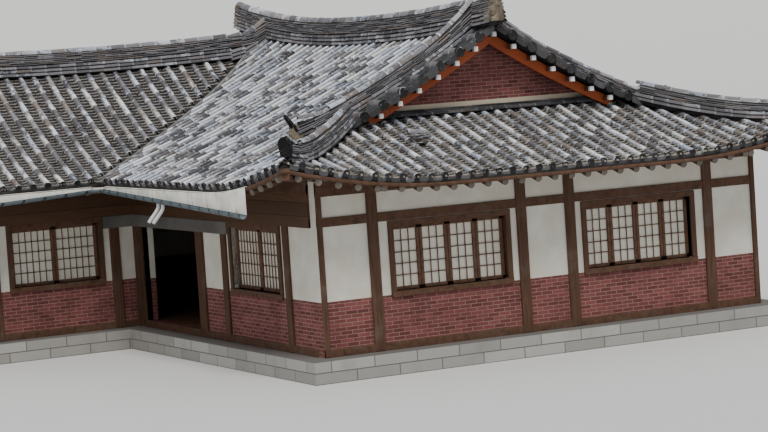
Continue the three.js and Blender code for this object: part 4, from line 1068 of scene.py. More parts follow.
def under_bed(node, top):
    """A copy of a bed's solid, let down and drawn in so that the tiles lie in the space that it held"""
    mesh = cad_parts[node].data.copy()
    with reworked(mesh) as work:
        bmesh.ops.remove_doubles(work, verts=work.verts, dist=1e-4)
        edges = open_edges(node)
        for vertex in work.verts:
            before = top(vertex.co.x, vertex.co.y)
            share = min(1.0, max(0.0, (vertex.co.z - before + BED) / BED))
            for axis, place, way in edges:
                if abs(vertex.co[axis] - place) < 0.002:
                    vertex.co[axis] += way * DRAWN_IN
            vertex.co.z = top(vertex.co.x, vertex.co.y) - BED + share * (BED - UNDER_TILES)
    mesh.materials.clear()
    # The earth takes the near-black packing finish: painted shade in the gaps under the tiles
    settle(f"{node}_earth", [finished(mesh, shaded_packing_finish())], [node])


# Ridges
RUN_STEP = 0.12
TIP_SHARE = 0.15  # the last part of a side ridge, which rises and narrows to its end tile
TIP_NARROWING = 0.55
HEAD_REACH = 1.1  # how far down from its start a descending ridge is raised


class Ridge:
    """A ridge line from one point to another over a bed, with its sizes"""

    def __init__(self, name, start, end, top, width, height, end_rise, start_rise=0.0):
        self.name, self.start, self.end, self.top = name, start, end, top
        self.width, self.height, self.end_rise, self.start_rise = width, height, end_rise, start_rise
        self.length = math.dist(start, end)

    def run(self, up, across=0.0, trim_start=0.0, trim_end=0.0):
        """A guide at a height over the bed; the last stretch rises and narrows to the end tile"""
        count = max(6, round(self.length / RUN_STEP))
        direction = Vector((self.end[0] - self.start[0], self.end[1] - self.start[1], 0.0)).normalized()
        side = Vector((direction.y, -direction.x, 0.0))
        points = []
        for i in range(count + 1):
            t = (trim_start + (self.length - trim_start - trim_end) * i / count) / self.length
            x = self.start[0] + (self.end[0] - self.start[0]) * t
            y = self.start[1] + (self.end[1] - self.start[1]) * t
            end = max(0.0, (t - (1 - TIP_SHARE)) / TIP_SHARE) ** 2 if self.end_rise else 0.0
            near = max(0.0, 1 - t * self.length / HEAD_REACH) ** 2
            breadth = 1 - TIP_NARROWING * end
            rise = up + (end * self.end_rise + near * self.start_rise) * max(0.0, up) / self.height
            place = Vector((x, y, self.top(x, y) + rise)) + side * across * breadth
            points.append((place, UP, breadth))
        return points

    def tip(self, far=True):
        """One end of the line on the bed, and the level way out of the ridge there"""
        line = [place for place, _, _ in self.run(0.0)]
        if not far:
            line.reverse()
        out = line[-1] - line[-2]
        out.z = 0.0
        return line[-1], out.normalized()


def stack(ridge, seed, base, rows, layers, layer, radius, cap_radius):
    """The courses of one ridge: packing painted dark as shade between the courses, round rows, flat tiles and round
    cap tiles.
    base is where the lowest row stands, below the bed at the ridge's line"""
    slab_finish = tile_finish("ridge tile", 1.45, 0.4, 0.5, lip=0.2)
    row_finish = tile_finish("ridge row tile", 1.35, 0.45, lip=0.3)
    cap_finish = tile_finish("cap tile", 1.6, 0.66, 0.4, bright=1.35)
    half = ridge.width / 2
    short = 0.10 if ridge.end_rise else 0.0
    first = base + rows * radius * 1.08
    top = first + layers * layer
    core = [(-half * 0.74, -0.12), (half * 0.74, -0.12), (half * 0.72, first), (half * 0.70, (first + top) / 2),
            (half * 0.62, top), (cap_radius * 0.8, top + 0.014), (-cap_radius * 0.8, top + 0.014), (-half * 0.62, top),
            (-half * 0.70, (first + top) / 2), (-half * 0.72, first)]
    lines = [ridge.run(up, across, 0.03, 0.03 + short) for across, up in core]
    filling = solid("filling", [[line[i][0] for line in lines] for i in range(len(lines[0]))])
    meshes = [finished(filling, shaded_packing_finish())]
    round_tile = cover_tile(0.315, radius, radius - 0.006, 0.012)
    for level in range(rows):
        for side in (-1, 1):
            across = side * (half - radius * (0.72 + 0.12 * level))
            row = ridge.run(base + radius * 1.08 * (level + 1), across, 0.0, short)[::-1]
            meshes.append(lay([row], round_tile, row_finish, 0.29, 0.012, 0.003, seed + side + 3 * level))
    for index in range(layers):
        flat = slab_tile(0.296, half * (0.98 - 0.03 * index), layer * 0.70)
        course = ridge.run(first + index * layer, 0.0, 0.0 if index % 2 else 0.03,
                           short * (0.5 + 0.1 * (index % 4)) + 0.035)
        meshes.append(lay([course], flat, slab_finish, 0.30 - 0.017 * (index % 3), 0.010, 0.006, seed + 10 + index))
    cap = cover_tile(0.325, cap_radius, cap_radius - 0.008)
    line = ridge.run(ridge.height, 0.0, 0.0, short * 1.1)
    meshes.append(lay([line[::-1]], cap, cap_finish, 0.30, 0.012, 0.003, seed + 30))
    if not ridge.end_rise:
        for number, end in enumerate((line, line[::-1])[:2 if ridge.name == "main" else 1]):
            meshes.append(lay_one([end], end_tile(cap_radius), end_finish(), 0.02, 0.0, seed + 40 + number,
                                  END_SPACING))
    return meshes


def crest_tile(ridge, seed, pointed):
    """The tile that closes the raised end of a side ridge, with a pointed or a round head; its near-black tone is
    painted shade
    """
    tall = ridge.height + ridge.end_rise - (0.01 if pointed else 0.12)
    if pointed:
        shape, lean, back = [(0.07, 0.0), (0.085, 0.35), (0.075, 0.6), (0.045, 0.82), (0.018, 0.95)], 0.19, 0.10
    else:
        shape, lean, back = [(0.085, 0.0), (0.105, 0.4), (0.11, 0.65), (0.09, 0.84), (0.05, 0.96)], 0.06, 0.06
    outline = [(y, z * tall) for y, z in shape] + [(0.0, tall)] + [(-y, z * tall) for y, z in reversed(shape)]
    rings = []
    for x, scale in ((-0.045, 0.80), (-0.05, 0.94), (-0.03, 1.0), (0.0, 1.0), (0.01, 0.9)):
        rings.append([(-x + lean * (z / tall) ** 2 - back * 0.5, y * scale, tall / 2 + (z - tall / 2) * scale)
                      for y, z in outline])
    tile = template(soften(solid("crest_tile", rings), 0.9))
    end, out = ridge.tip()
    foot = end - out * 0.05 + Vector((0.0, 0.0, 0.01))
    # Near-black: painted shade on the crest tile
    finish = tile_finish("crest tile", 0.12, 0.0, 0.0, lip=0.0)
    return lay_one([straight_guide(foot, foot + out * 0.1)], tile, finish, 0.02, 0.0, seed)


def end_mortar(ridge, seed, low, high, far=True, half_width=0.172, bulge=0.07):
    """The rough lime face that closes one end of a ridge"""
    pick = random.Random(seed)
    place, out = ridge.tip(far)
    side = Vector((out.y, -out.x, 0.0))
    rings = []
    for k in range(10):
        share = k / 9
        half = half_width * (1 - 0.32 * share) * pick.uniform(0.93, 1.05)
        height = Vector((0, 0, low + (high - low) * share))
        ring = []
        for i in range(9):
            depth = bulge * (1 - (i / 4 - 1) ** 2) + pick.uniform(-0.022, 0.018) - 0.02
            ring.append(place + side * (half * (1 - i / 4)) + out * depth + height)
        rings.append(ring + [place + side * across - out * 0.16 + height for across in (-half, half)])
    return finished(soften(solid("end_mortar", rings), 0.5), mortar_finish("ridge end lime", 0.62))


def lay_ridge(ridge, node, seed, main):
    if main:
        base = -0.085 if node == "main_ridge" else -0.10
        meshes = stack(ridge, seed, base, 3, 6, 0.0315, 0.062, 0.088)
        ends = (False, True) if node == "main_ridge" else (False,)
        meshes += [end_mortar(ridge, seed + far, -0.06, ridge.height - 0.075, far) for far in ends]
    else:
        meshes = stack(ridge, seed, -0.06, 2, 4, 0.0285, 0.060, 0.062)
        pointed = "descending" in node
        meshes.append(crest_tile(ridge, seed, pointed))
        if pointed:
            meshes.append(end_mortar(ridge, seed, -0.05, 0.25, True, 0.10, 0.05))
    settle(f"{node}_courses", meshes, [node])


def ridges():
    """Every ridge of the house by its node"""
    past = VERGE + 0.06
    made = {
        "main_ridge": Ridge("main", (0, -past), (0, RIDGE_LENGTH + past), main_top, 0.32, 0.41, 0.0),
        "wing_ridge": Ridge("wing", (WING_GABLE_X - past, WING_RIDGE_Y), (-0.12, WING_RIDGE_Y), wing_crest,
                            0.32, 0.375, 0.0),
    }
    inset, half, first, last = 0.35, 0.115, 0.12, 3.5
    hip_start, wing_start, wing_last = SKIRT - 0.15, WING_SKIRT - 0.15, 2.3

    def side(node, start, end, top):
        made[node] = Ridge(node, start, end, top, 2 * half, 0.272, 0.16, 0.2 if "descending" in node else 0.0)

    def hip(node, x, y, way_x, way_y, start, top):
        """A ridge down to the corner at x, y; the ways lead in from it"""
        side(node, (x + way_x * start, y + way_y * start), (x + way_x * half, y + way_y * half), top)

    for name, sign, top in (("left", -1, main_top), ("right", 1, right_top)):
        side(f"front_{name}_descending_ridge", (sign * first, inset), (sign * last, inset), top)
        hip(f"front_{name}_hip_ridge", sign * EAVE_X, FRONT_EAVE, -sign, 1, hip_start, top)
    side("rear_right_descending_ridge", (first, RIDGE_LENGTH - inset), (last, RIDGE_LENGTH - inset), right_top)
    hip("rear_right_hip_ridge", EAVE_X, REAR_EAVE, -1, -1, hip_start, right_top)
    step_x = REAR_STEP_X - half
    side("rear_left_ridge", (step_x, REAR_VERGE + 0.23), (step_x, REAR_EAVE - half), wing_top)
    x, y = WING_GABLE_X + inset, WING_RIDGE_Y
    for name, sign in (("front", -1), ("rear", 1)):
        side(f"wing_{name}_descending_ridge", (x, y + sign * first), (x, y + sign * wing_last), wing_top)
        hip(f"wing_{name}_hip_ridge", WING_EAVE_X, y + sign * WING_HALF, 1, -sign, wing_start, wing_top)
    return made


def wing_crest(x, y):
    return max(wing_top(x, y), main_top(x, y))


# Eaves
class Eave:
    """One eave: where a place along it and a distance in from it lie, and the bed over it"""

    def __init__(self, node, place, top, first, last, corners):
        self.node, self.place, self.top = node, place, top
        self.first, self.last, self.corners = first, last, corners

    def under(self, along, from_eave):
        return self.top(*self.place(along, from_eave)) - BED

    def point(self, along, from_eave, z):
        return Vector((*self.place(along, from_eave), z))

    def line(self, first, last, count, from_eave, up):
        """A guide along the eave, at a height over the underside of the bed"""
        places = [first + (last - first) * i / count for i in range(count + 1)]
        return [(self.point(along, from_eave, self.under(along, from_eave) + up), UP, 1.0) for along in places]

    def corner(self, direction):
        return (self.first if direction < 0 else self.last) + direction * CORNER_ZONE

    def deck(self, along, share):
        """The straight line that the boards follow, low enough to clear the sag of the bed above them"""
        tip, end = self.under(along, RAFTER_TIP), self.under(along, RAFTER_END)
        excess = 0.0
        for i in range(13):
            part = i / 12
            from_eave = RAFTER_TIP + part * (RAFTER_END - RAFTER_TIP)
            excess = max(excess, tip + (end - tip) * part - self.under(along, from_eave))
        return tip + (end - tip) * share - excess - 0.006


RAFTER_TIP = 0.06  # from the eave in to a rafter's sawn end
RAFTER_END = 1.5
RAFTER_SPACING = 0.3
RAFTER_DIAMETER = 0.11
CORNER_ZONE = RAFTER_END + RAFTER_TIP + RAFTER_DIAMETER  # the rafters fan out over this much of an eave
DECK = 0.025


def eaves():
    def along_y(x, sign):
        return lambda along, from_eave: (x + sign * from_eave, along)

    def along_x(y, sign):
        return lambda along, from_eave: (along, y + sign * from_eave)

    d, zone = RAFTER_DIAMETER, CORNER_ZONE
    return [
        Eave("main_left_rafters", along_y(-EAVE_X, 1), main_top, FRONT_EAVE + zone, WING_EAVE_Y - d, [-1]),
        Eave("main_right_rafters", along_y(EAVE_X, -1), right_top, FRONT_EAVE + zone, REAR_EAVE - zone, [-1, 1]),
        Eave("front_rafters", along_x(FRONT_EAVE, 1), front_skirt_top, -EAVE_X + zone, EAVE_X - zone, [-1, 1]),
        Eave("rear_rafters", along_x(REAR_EAVE, -1), rear_skirt_top, REAR_STEP_X + d, EAVE_X - zone, [1]),
        Eave("wing_rear_rafters", along_x(REAR_EAVE, -1), wing_top, WING_EAVE_X + zone, REAR_STEP_X - d, [-1]),
        Eave("wing_front_rafters", along_x(WING_EAVE_Y, 1), wing_top, WING_EAVE_X + zone, -EAVE_X - d, [-1]),
        Eave("wing_end_rafters", along_y(WING_EAVE_X, 1), wing_skirt_top, WING_EAVE_Y + zone, REAR_EAVE - zone,
             [-1, 1]),
    ]


def straight_guide(start, end, up=UP, count=1):
    start, end = Vector(start), Vector(end)
    return [(start.lerp(end, i / count), up, 1.0) for i in range(count + 1)]


def fan(eave, direction):
    """Rafters that spread from the wall corner to the corner of the eaves"""
    runs, spaces, inner = [], 5, RAFTER_END + 0.1
    corner = eave.corner(direction)
    heart_along = corner - direction * inner
    heart = eave.point(heart_along, inner, eave.under(heart_along, inner) - 0.10)
    for i in range(1, spaces + 1):
        along = corner - direction * CORNER_ZONE * (i - 0.15) / (spaces + 0.1)
        z = eave.under(along, RAFTER_TIP) - DECK - RAFTER_DIAMETER / 2 - 0.03
        tip = eave.point(along, RAFTER_TIP, z)
        runs.append(straight_guide(tip, tip.lerp(heart, 0.86)))
    return runs


HIP_OWNERS = ("front_rafters", "rear_rafters", "wing_rear_rafters", "wing_front_rafters")


def lay_eave(eave):
    """Round rafters with painted sawn ends, darkened as painted shade under the eave, the boards on them and the
    square eave board
    """
    count = math.floor((eave.last - eave.first) / RAFTER_SPACING)
    start = (eave.first + eave.last - count * RAFTER_SPACING) / 2
    radius = RAFTER_DIAMETER / 2
    below = DECK + radius
    timber = timber_finish("rafter timber")
    runs = []
    for i in range(count + 1):
        along = start + i * RAFTER_SPACING
        runs.append(straight_guide(eave.point(along, RAFTER_TIP, eave.deck(along, 0.0) - below),
                                   eave.point(along, RAFTER_END, eave.deck(along, 1.0) - below)))
    for direction in eave.corners:
        runs.extend(fan(eave, direction))
    caps = []
    for (tip, _, _), (end, _, _) in runs:
        out = (tip - end).normalized()
        caps.append(straight_guide(tip + out * 0.002, tip - out * 0.004))
    rafters = soften(sweep(runs, on_circle(radius, 12), timber), 0.9)
    # The end paint is a dark grey-brown: painted shade on the rafter ends under the eave
    ends = sweep(caps, on_circle(radius * 1.01, 12), paint_finish("sawn end", (0.155, 0.135, 0.11), 0.6, 0.9))
    reach = CORNER_ZONE - 0.03
    first = eave.first - (reach if -1 in eave.corners else 0.0)
    last = eave.last + (reach if 1 in eave.corners else 0.0)
    beam = sweep([eave.line(first, last, 48, 0.08, -0.012)], rectangle(0.11, -0.06, 0.0, 0.008), timber)
    hips = [hip_timber(eave, direction) for direction in eave.corners if eave.node in HIP_OWNERS]
    settle(f"{eave.node}_round", [rafters, ends, deck_boards(eave), beam, *hips], [eave.node])


def hip_timber(eave, direction):
    """The square timber under a hip, cut back to a rising nose"""
    points = []
    for i in range(9):
        from_eave = 0.075 + 1.345 * i / 8
        x, y = eave.place(eave.corner(direction) - direction * from_eave, from_eave)
        points.append((Vector((x, y, eave.top(x, y) - BED - 0.045)), UP, 1.0))
    return sweep([points], rectangle(0.14, -0.13, 0.0, 0.01), timber_finish("rafter timber"))


def deck_boards(eave):
    """The boards that lie on the rafters, seen from below"""
    rings = []
    for i in range(37):
        along = eave.first - RAFTER_DIAMETER + (eave.last - eave.first + 2 * RAFTER_DIAMETER) * i / 36
        rings.append([eave.point(along, RAFTER_TIP + share * (RAFTER_END - RAFTER_TIP), eave.deck(along, share) - drop)
                      for share, drop in ((0.0, 0.0), (1.0, 0.0), (1.0, DECK), (0.0, DECK))])
    return finished(solid("deck", rings), timber_finish("deck board", (0.085, 0.042, 0.024)))


# Gables
BLOCK_REACH = 0.19  # a verge block stands this far out of its board
BLOCK_BACK = 0.2
BLOCK_SPACING = 0.36
BLOCK_DROP = 0.135  # from the underside of the bed down to a block's middle
BOARD_DROP = 0.0455
BOARD_HEIGHT = 0.205
BOARD_THICKNESS = 0.05
BARGE_REACH, WING_BARGE_REACH = 2.3, 1.4


def barge_set(name, node, reach, under, place):
    """Two bargeboards that meet at the apex, and the white-ended blocks over them"""
    paint = paint_finish("bargeboard paint", tuple(walls().board_paint), 0.35, 0.6, (0.10, 0.035, 0.02))
    meshes = []
    for side in (-1, 1):
        rings = []
        for i in range(21):
            u = reach * i / 20
            top = under(u) - BOARD_DROP
            low = top - BOARD_HEIGHT + 0.02 * u
            section = ((0.004, low), (0.0, low + 0.006), (0.0, top - 0.006), (0.004, top), (BOARD_THICKNESS, top),
                       (BOARD_THICKNESS, low))
            rings.append([place(side * u, depth, z) for depth, z in section])
        meshes.append(finished(solid("board", rings), paint))
    count = math.floor(reach / BLOCK_SPACING)
    blocks, ends = [], []
    for i in range(-count, count + 1):
        u = BLOCK_SPACING * i
        z = under(abs(u)) - BLOCK_DROP
        front, back = Vector(place(u, -BLOCK_REACH, z)), Vector(place(u, BLOCK_BACK, z))
        out = (front - back).normalized()
        blocks.append(straight_guide(front, back))
        ends.append(straight_guide(front + out * 0.003, front - out * 0.12))
    red = timber_finish("block timber", (0.16, 0.055, 0.03))
    white = paint_finish("white end paint", (0.90, 0.88, 0.83), 0.2, 0.7, (0.50, 0.42, 0.32))
    meshes.append(lay_one(blocks, block(BLOCK_REACH + BLOCK_BACK, 0.072, 0.075, 0.003), red, 0.0, 0.0, 3))
    meshes.append(lay_one(ends, block(0.055, 0.074, 0.077, 0.003), white, 0.0, 0.0, 4))
    settle(name, meshes, [node])


def foot_band(name, start, end, face):
    """The dark flat tiles and the round row that close a skirt against a gable's foot"""
    start, end, out = Vector(start), Vector(end), Vector(face)

    def row(forward, up):
        place = out * forward + Vector((0, 0, up))
        return straight_guide(start + place, end + place, count=8)

    finish = tile_finish("foot row tile", 0.5, 0.25, lip=0.2)
    meshes = [sweep([row(0.0, 0.0)], rectangle(0.10, -0.08, 0.03), shaded_packing_finish())]
    for index, up in enumerate((-0.012, 0.014)):
        meshes.append(lay([row(0.012 - 0.008 * index, up)], slab_tile(0.27, 0.065, 0.019), finish,
                          0.275 - 0.02 * index, 0.008, 0.004, 50 + index))
    meshes.append(lay([row(0.075, -0.005)], cover_tile(0.315, 0.05, 0.044, 0.012), finish, 0.29, 0.012, 0.003, 60))
    settle(name, meshes)


# Walls
def box_mesh(low, high, finish, chamfer=0.004):
    """A sawn timber or stone between two corners"""
    size = [high[i] - low[i] for i in range(3)]
    work = bmesh.new()
    bmesh.ops.create_cube(work, size=1.0, matrix=Matrix.Diagonal((*size, 1.0)))
    if chamfer:
        bmesh.ops.bevel(work, geom=work.edges[:], offset=min(chamfer, min(size) * 0.3), segments=1, affect="EDGES")
    bmesh.ops.translate(work, verts=work.verts, vec=[(low[i] + high[i]) / 2 for i in range(3)])
    mesh = bpy.data.meshes.new("timber")
    work.to_mesh(mesh)
    work.free()
    return finished(mesh, finish)


def courtyard_sheet(apron, gutter):
    """The top folds of the two aprons, and the short pieces of apron and gutter across their inner corner"""
    both = {eave.node: eave for eave in eaves()}
    left, wing = both["main_left_rafters"], both["wing_front_rafters"]
    corner, foot, radius, sheet = 0.16, 2.885, 0.062, 0.004
    meshes = []
    for eave, first, last in ((left, WING_EAVE_Y - corner, -1.0), (wing, -EAVE_X - corner, -8.9)):
        meshes.append(sweep([eave.line(first, last, 40, 0.04, sheet)], rectangle(0.062, -0.008, 0.0), apron))
    ends = []
    for eave, along in ((left, WING_EAVE_Y - corner + 0.01), (wing, -EAVE_X - corner + 0.01)):
        x, y = eave.place(along, 0.006)
        top = eave.under(along, 0.006) + sheet
        ends.append([(x, y, foot), (x, y, top), (x + sheet, y + sheet, top), (x + sheet, y + sheet, foot)])
    meshes.append(finished(solid("corner_apron", ends), apron))
    arc = [(right, -up) for right, up in on_circle(radius, 8, math.pi)]
    inner = [(0.95 * right, 0.95 * up) for right, up in reversed(arc)]
    reach = corner + 0.02
    a = Vector((-EAVE_X - radius + 0.009, WING_EAVE_Y - reach, foot))
    b = Vector((-EAVE_X - reach, WING_EAVE_Y - radius + 0.009, foot))
    meshes.append(sweep([straight_guide(a, b)], arc + inner, gutter))
    return meshes


class Face:
    """The outside of one wall: along starts at its left end seen from outside"""

    def __init__(self, name, x, y, along, length, node, openings, posts):
        self.name, self.length, self.openings, self.posts = name, length, openings, posts
        self.origin = Vector((x, y, PLINTH_TOP))
        self.along, self.inward = Vector((*along, 0)), Vector((-along[1], along[0], 0))
        self.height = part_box(node)[1][2] - PLINTH_TOP

    def place(self, along, depth, height):
        return self.origin + self.along * along + self.inward * depth + Vector((0, 0, height))

    def bar(self, first, last, low, high, proud, depth, finish, chamfer=0.004):
        """A straight timber on the face, between two places along it and two heights over the plinth"""
        ends = tuple(zip(self.place(first, -proud, low), self.place(last, depth, high)))
        return box_mesh([min(pair) for pair in ends], [max(pair) for pair in ends], finish, chamfer)


WINDOW_SILL, WINDOW_HEAD = 0.9, 1.9
HALL_SILL, HALL_HEAD = 0.1, 1.95


COURTYARD = ("left", "wing_front")
LINTEL_TOP = 1.99


def faces():
    wall, gap = 0.2, 0.0003
    inset = wall + gap
    return [
        Face("front", -WALL_X, FRONT_WALL_Y, (1, 0), 2 * WALL_X, "front_wall",
             [(1.3, 2.0), (4.8, 2.0)], [0.0, 0.95, 3.6, 4.5, 7.15, 8.1]),
        Face("right", WALL_X, FRONT_WALL_Y + wall + gap, (0, 1), REAR_WALL_Y - FRONT_WALL_Y - 2 * inset, "right_wall",
             [(1.0, 2.0), (4.8, 2.0), (8.7, 2.0)], [0.65, 3.35, 4.45, 7.15, 8.35, 11.05]),
        Face("rear", WALL_X - wall - gap, REAR_WALL_Y, (-1, 0), WALL_X - wall - gap - WING_WALL_X, "front_wall",
             [(1.0, 2.0), (4.6, 2.0), (7.5, 1.6), (10.2, 1.6)], [0.65, 3.35, 4.25, 6.95, 9.45, 12.15]),
        Face("left", -WALL_X, WING_WALL_Y - gap, (0, -1), WING_WALL_Y - FRONT_WALL_Y - wall - 2 * gap,
             "main_left_wall", [(4.2, 1.8)], [0.09, 2.95, 3.9, 6.3]),
        Face("wing_front", WING_WALL_X, WING_WALL_Y, (1, 0), -WALL_X - gap - WING_WALL_X, "wing_front_wall",
             [(0.7, 1.6), (3.0, 1.6)], [0.0, 0.4, 2.65, 4.9]),
        Face("wing_end", WING_WALL_X, REAR_WALL_Y - wall - gap, (0, -1), REAR_WALL_Y - WING_WALL_Y - 2 * inset,
             "wing_end_wall", [(1.45, 1.6)], [1.1, 3.4]),
    ]


def timber_frame(face):
    """Posts, sill, rails, lintel and plate of one wall; on the courtyard faces the lintel's grey is painted shade
    under the deep eave
    """
    upright = timber_finish("post timber", along="z")
    level = timber_finish("beam timber", tinted(tuple(walls().timber), 1.1))
    half, end, top = walls().post_width / 2, face.length, face.height
    bars = [(0.0, end, 0.0, 0.12, 0.035, 0.01, level), (0.0, end, top - 0.24, top - 0.02, 0.05, 0.01, level),
            (0.0, end, 2.0, 2.14, 0.03, 0.01, level)]
    if face.name in COURTYARD:
        boards = plank_finish("upper boards", (0.105, 0.052, 0.026), 0.21, "Z")
        # The grey lintel band stands for the shade under the deep courtyard eave: painted shade
        grey = paint_finish("grey lintel", (0.15, 0.14, 0.13), 0.3, 0.8)
        lintel = (0.0, 4.1) if face.name == "left" else (4.7, end)
        bars += [(0.0, end, LINTEL_TOP, top - 0.1, 0.047, 0.01, boards),
                 (*lintel, 1.78, LINTEL_TOP, 0.055, 0.01, grey)]
    for post in face.posts:
        bars.append((max(0.0, post - half), min(end, post + half), 0.0, top - 0.03, 0.045, 0.01, upright, 0.012))
    for left, width in face.openings:
        right, edge = left + width, 0.09
        bars += [(left - edge, right + edge, WINDOW_HEAD, WINDOW_HEAD + edge, 0.035, 0.1, level),
                 (left - edge, right + edge, WINDOW_SILL - edge, WINDOW_SILL, 0.045, 0.1, level),
                 (left - edge, left, WINDOW_SILL, WINDOW_HEAD, 0.035, 0.1, upright),
                 (right, right + edge, WINDOW_SILL, WINDOW_HEAD, 0.035, 0.1, upright)]
    if face.name == "left":
        left, right, edge = 0.35, 2.75, 0.1
        bars += [(left - edge, left, HALL_SILL, HALL_HEAD, 0.035, 0.1, upright),
                 (right, right + edge, HALL_SILL, HALL_HEAD, 0.035, 0.1, upright),
                 (left - edge, right + edge, HALL_HEAD, HALL_HEAD + 0.05, 0.035, 0.1, level)]
    settle(f"{face.name}_frame", [face.bar(*bar) for bar in bars])


def lattice(face):
    """Leaf frames and thin crossed bars over the paper, laid by the rule"""
    finish = timber_finish("lattice timber", tinted(tuple(walls().timber), 1.4))
    back, rail, play, spacing = 0.11, 0.05, 0.004, walls().bar_spacing
    low, high = WINDOW_SILL + play, WINDOW_HEAD - play
    inner_low, inner_high = low + rail, high - rail
    meshes, upright, level = [], [], []

    def length_of(run):
        return (run[-1][0] - run[0][0]).length

    for first, width in face.openings:
        leaves = 2 if width < 1.9 else 4
        leaf = width / leaves
        for index in range(leaves):
            a, b = first + index * leaf + play, first + (index + 1) * leaf - play
            for start, end, z0, z1 in ((a, b, low, inner_low), (a, b, inner_high, high), (a, a + rail, low, high),
                                       (b - rail, b, low, high)):
                meshes.append(face.bar(start, end, z0, z1, -back + 0.034, back + 0.002, finish, 0.003))
            for place in spread(a + rail, b - rail, spacing)[1:-1]:
                upright.append(straight_guide(face.place(place, back - 0.009, inner_low),
                                              face.place(place, back - 0.009, inner_high), -face.inward))
            for height in spread(inner_low, inner_high, spacing * 1.4)[1:-1]:
                start = face.place(a + rail, back - 0.006, height)
                level.append(straight_guide(start, start + face.along * (leaf - 2 * rail - 2 * play), -face.inward))
    for runs in (upright, level):
        same = [run for run in runs if abs(length_of(run) - length_of(runs[0])) < 0.01]
        other = [run for run in runs if run not in same]
        for group, seed in ((same, 5), (other, 6)):
            if group:
                bar = block(length_of(group[0]), 0.014, 0.014, 0.002)
                meshes.append(lay_one(group, bar, finish, 0.0, 0.0, seed, END_SPACING))
    settle(f"{face.name}_lattice", meshes)


def dress(finish, *nodes):
    """Gives CAD nodes that keep their shape a better finish"""
    for node in nodes:
        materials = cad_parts[node].data.materials
        materials.clear()
        materials.append(finish)


# Operators
class HANOK_OT_beds(bpy.types.Operator):
    """Let the roof beds down under the tiles"""
    bl_idname = "hanok.beds"
    bl_label = "Earth beds"

    def execute(self, context):
        beds = {"main_left_slope": main_top, "main_right_slope": right_top, "main_left_rear_slope": main_top,
                "wing_front_slope": wing_top, "wing_rear_slope": wing_top, "front_skirt": front_skirt_top,
                "rear_skirt": rear_skirt_top, "wing_end_skirt": wing_skirt_top}
        for node, top in beds.items():
            under_bed(node, top)
        return {"FINISHED"}


class HANOK_OT_slopes(bpy.types.Operator):
    """Lay the tiles of the long slopes"""
    bl_idname = "hanok.slopes"
    bl_label = "Slope tiles"

    def execute(self, context):
        pitch, seed = roof().row_pitch, roof().seed
        # The channel finishes are far darker than the cover finishes: painted shade in the channels between the rows
        # of covers
        tan, wing_tan = (0.27, 0.245, 0.225), (0.31, 0.28, 0.25)
        left = (tile_finish("pale slope tile", 0.9, 0.88, 0.5, "x", bright=1.75, side=0.6, climb=0.09),
                tile_finish("pale slope channel", 0.4, 0.3, 0.4, "x", 0.6, tan), 0.94)
        wing = (tile_finish("wing tile", 1.4, 0.68, 0.7, "y", bright=1.8, side=0.5),
                tile_finish("wing channel", 0.22, 0.05, 0.4, "y", 1.0, wing_tan), 0.9)
        right = (tile_finish("right slope tile", 1.15, 0.6, 0.5, "x", side=0.5),
                 tile_finish("right slope channel", 0.33, 0.15, 0.4, "x", 0.9, tan), 1.0)
        outer, wing_outer = EAVE_X - SKIRT + VERGE - 0.05, WING_HALF - WING_SKIRT + VERGE - 0.05
        front, rear = (-VERGE + EDGE, VERGE_IN), (REAR_VERGE - EDGE, RIDGE_LENGTH - VERGE_IN)
        end = (WING_GABLE_X - VERGE + EDGE, WING_GABLE_X + VERGE_IN)
        fields = [
            ("main_left", left, (FRONT_EAVE, WING_RIDGE_Y), main_left_ends, main_top, [(-1, outer, *front)]),
            ("main_right", right, (FRONT_EAVE, REAR_EAVE), main_right_ends, right_top,
             [(1, outer, *front), (1, outer, *rear)]),
            ("main_left_rear", left, (WING_RIDGE_Y, RIDGE_LENGTH - VERGE_IN), left_rear_ends, main_top,
             [(-1, -REAR_STEP_X - 0.1, *rear)]),
            ("wing_front", wing, (WING_EAVE_X, -JOIN_X), wing_ends(-1), wing_top, [(-1, wing_outer, *end)]),
            ("wing_rear", wing, (WING_EAVE_X, -JOIN_X), wing_ends(1), wing_top, [(1, wing_outer, *end)]),
        ]
        for index, (name, (finish, channel, slim), (low, high), ends, top, verges) in enumerate(fields):
            middle = WING_RIDGE_Y if name.startswith("wing") else None
            verge = [[run for along in verges for run in verge_runs(*along, top, half, middle)]
                     for half in (False, True)]
            tile_field(name, rows_between(low, high, pitch, ends, top), finish, channel, seed + 10 * index, verge,
                       name.startswith("main_left"), slim)
        settle("valley_pointing", [valley_pointing()])
        settle("step_side", [step_side()])
        return {"FINISHED"}


class HANOK_OT_skirts(bpy.types.Operator):
    """Lay the tiles of the skirts below the gables"""
    bl_idname = "hanok.skirts"
    bl_label = "Skirt tiles"

    def execute(self, context):
        pitch, seed = roof().row_pitch * 0.9, roof().seed + 100
        finish = tile_finish("skirt tile", 1.5, 0.70, 0.5, "y", bright=1.75, side=0.5)
        # The skirt channel is far darker than the skirt tile: painted shade in the channels between the rows of covers
        channel = tile_finish("skirt channel", 0.25, 0.05, 0.4, "any", 1.0, (0.38, 0.34, 0.28))
        fields = [
            ("front_skirt", (-EAVE_X, EAVE_X), front_skirt_ends, front_skirt_top),
            ("rear_skirt", (REAR_STEP_X, EAVE_X), rear_skirt_ends, rear_skirt_top),
            ("wing_skirt", (WING_EAVE_Y, REAR_EAVE), wing_skirt_ends, wing_skirt_top),
        ]
        for index, (name, (low, high), ends, top) in enumerate(fields):
            rows = rows_between(low, high, pitch, ends, top)
            tile_field(name, rows, finish, channel, seed + 10 * index, slim=0.86)
        settle("loose_tiles", loose_pile(-1.92, -0.95))
        return {"FINISHED"}


class HANOK_OT_ridges(bpy.types.Operator):
    """Stack the courses of every ridge"""
    bl_idname = "hanok.ridges"
    bl_label = "Ridges"

    def execute(self, context):
        for index, (node, ridge) in enumerate(ridges().items()):
            lay_ridge(ridge, node, 200 + 40 * index, node in ("main_ridge", "wing_ridge"))
        return {"FINISHED"}


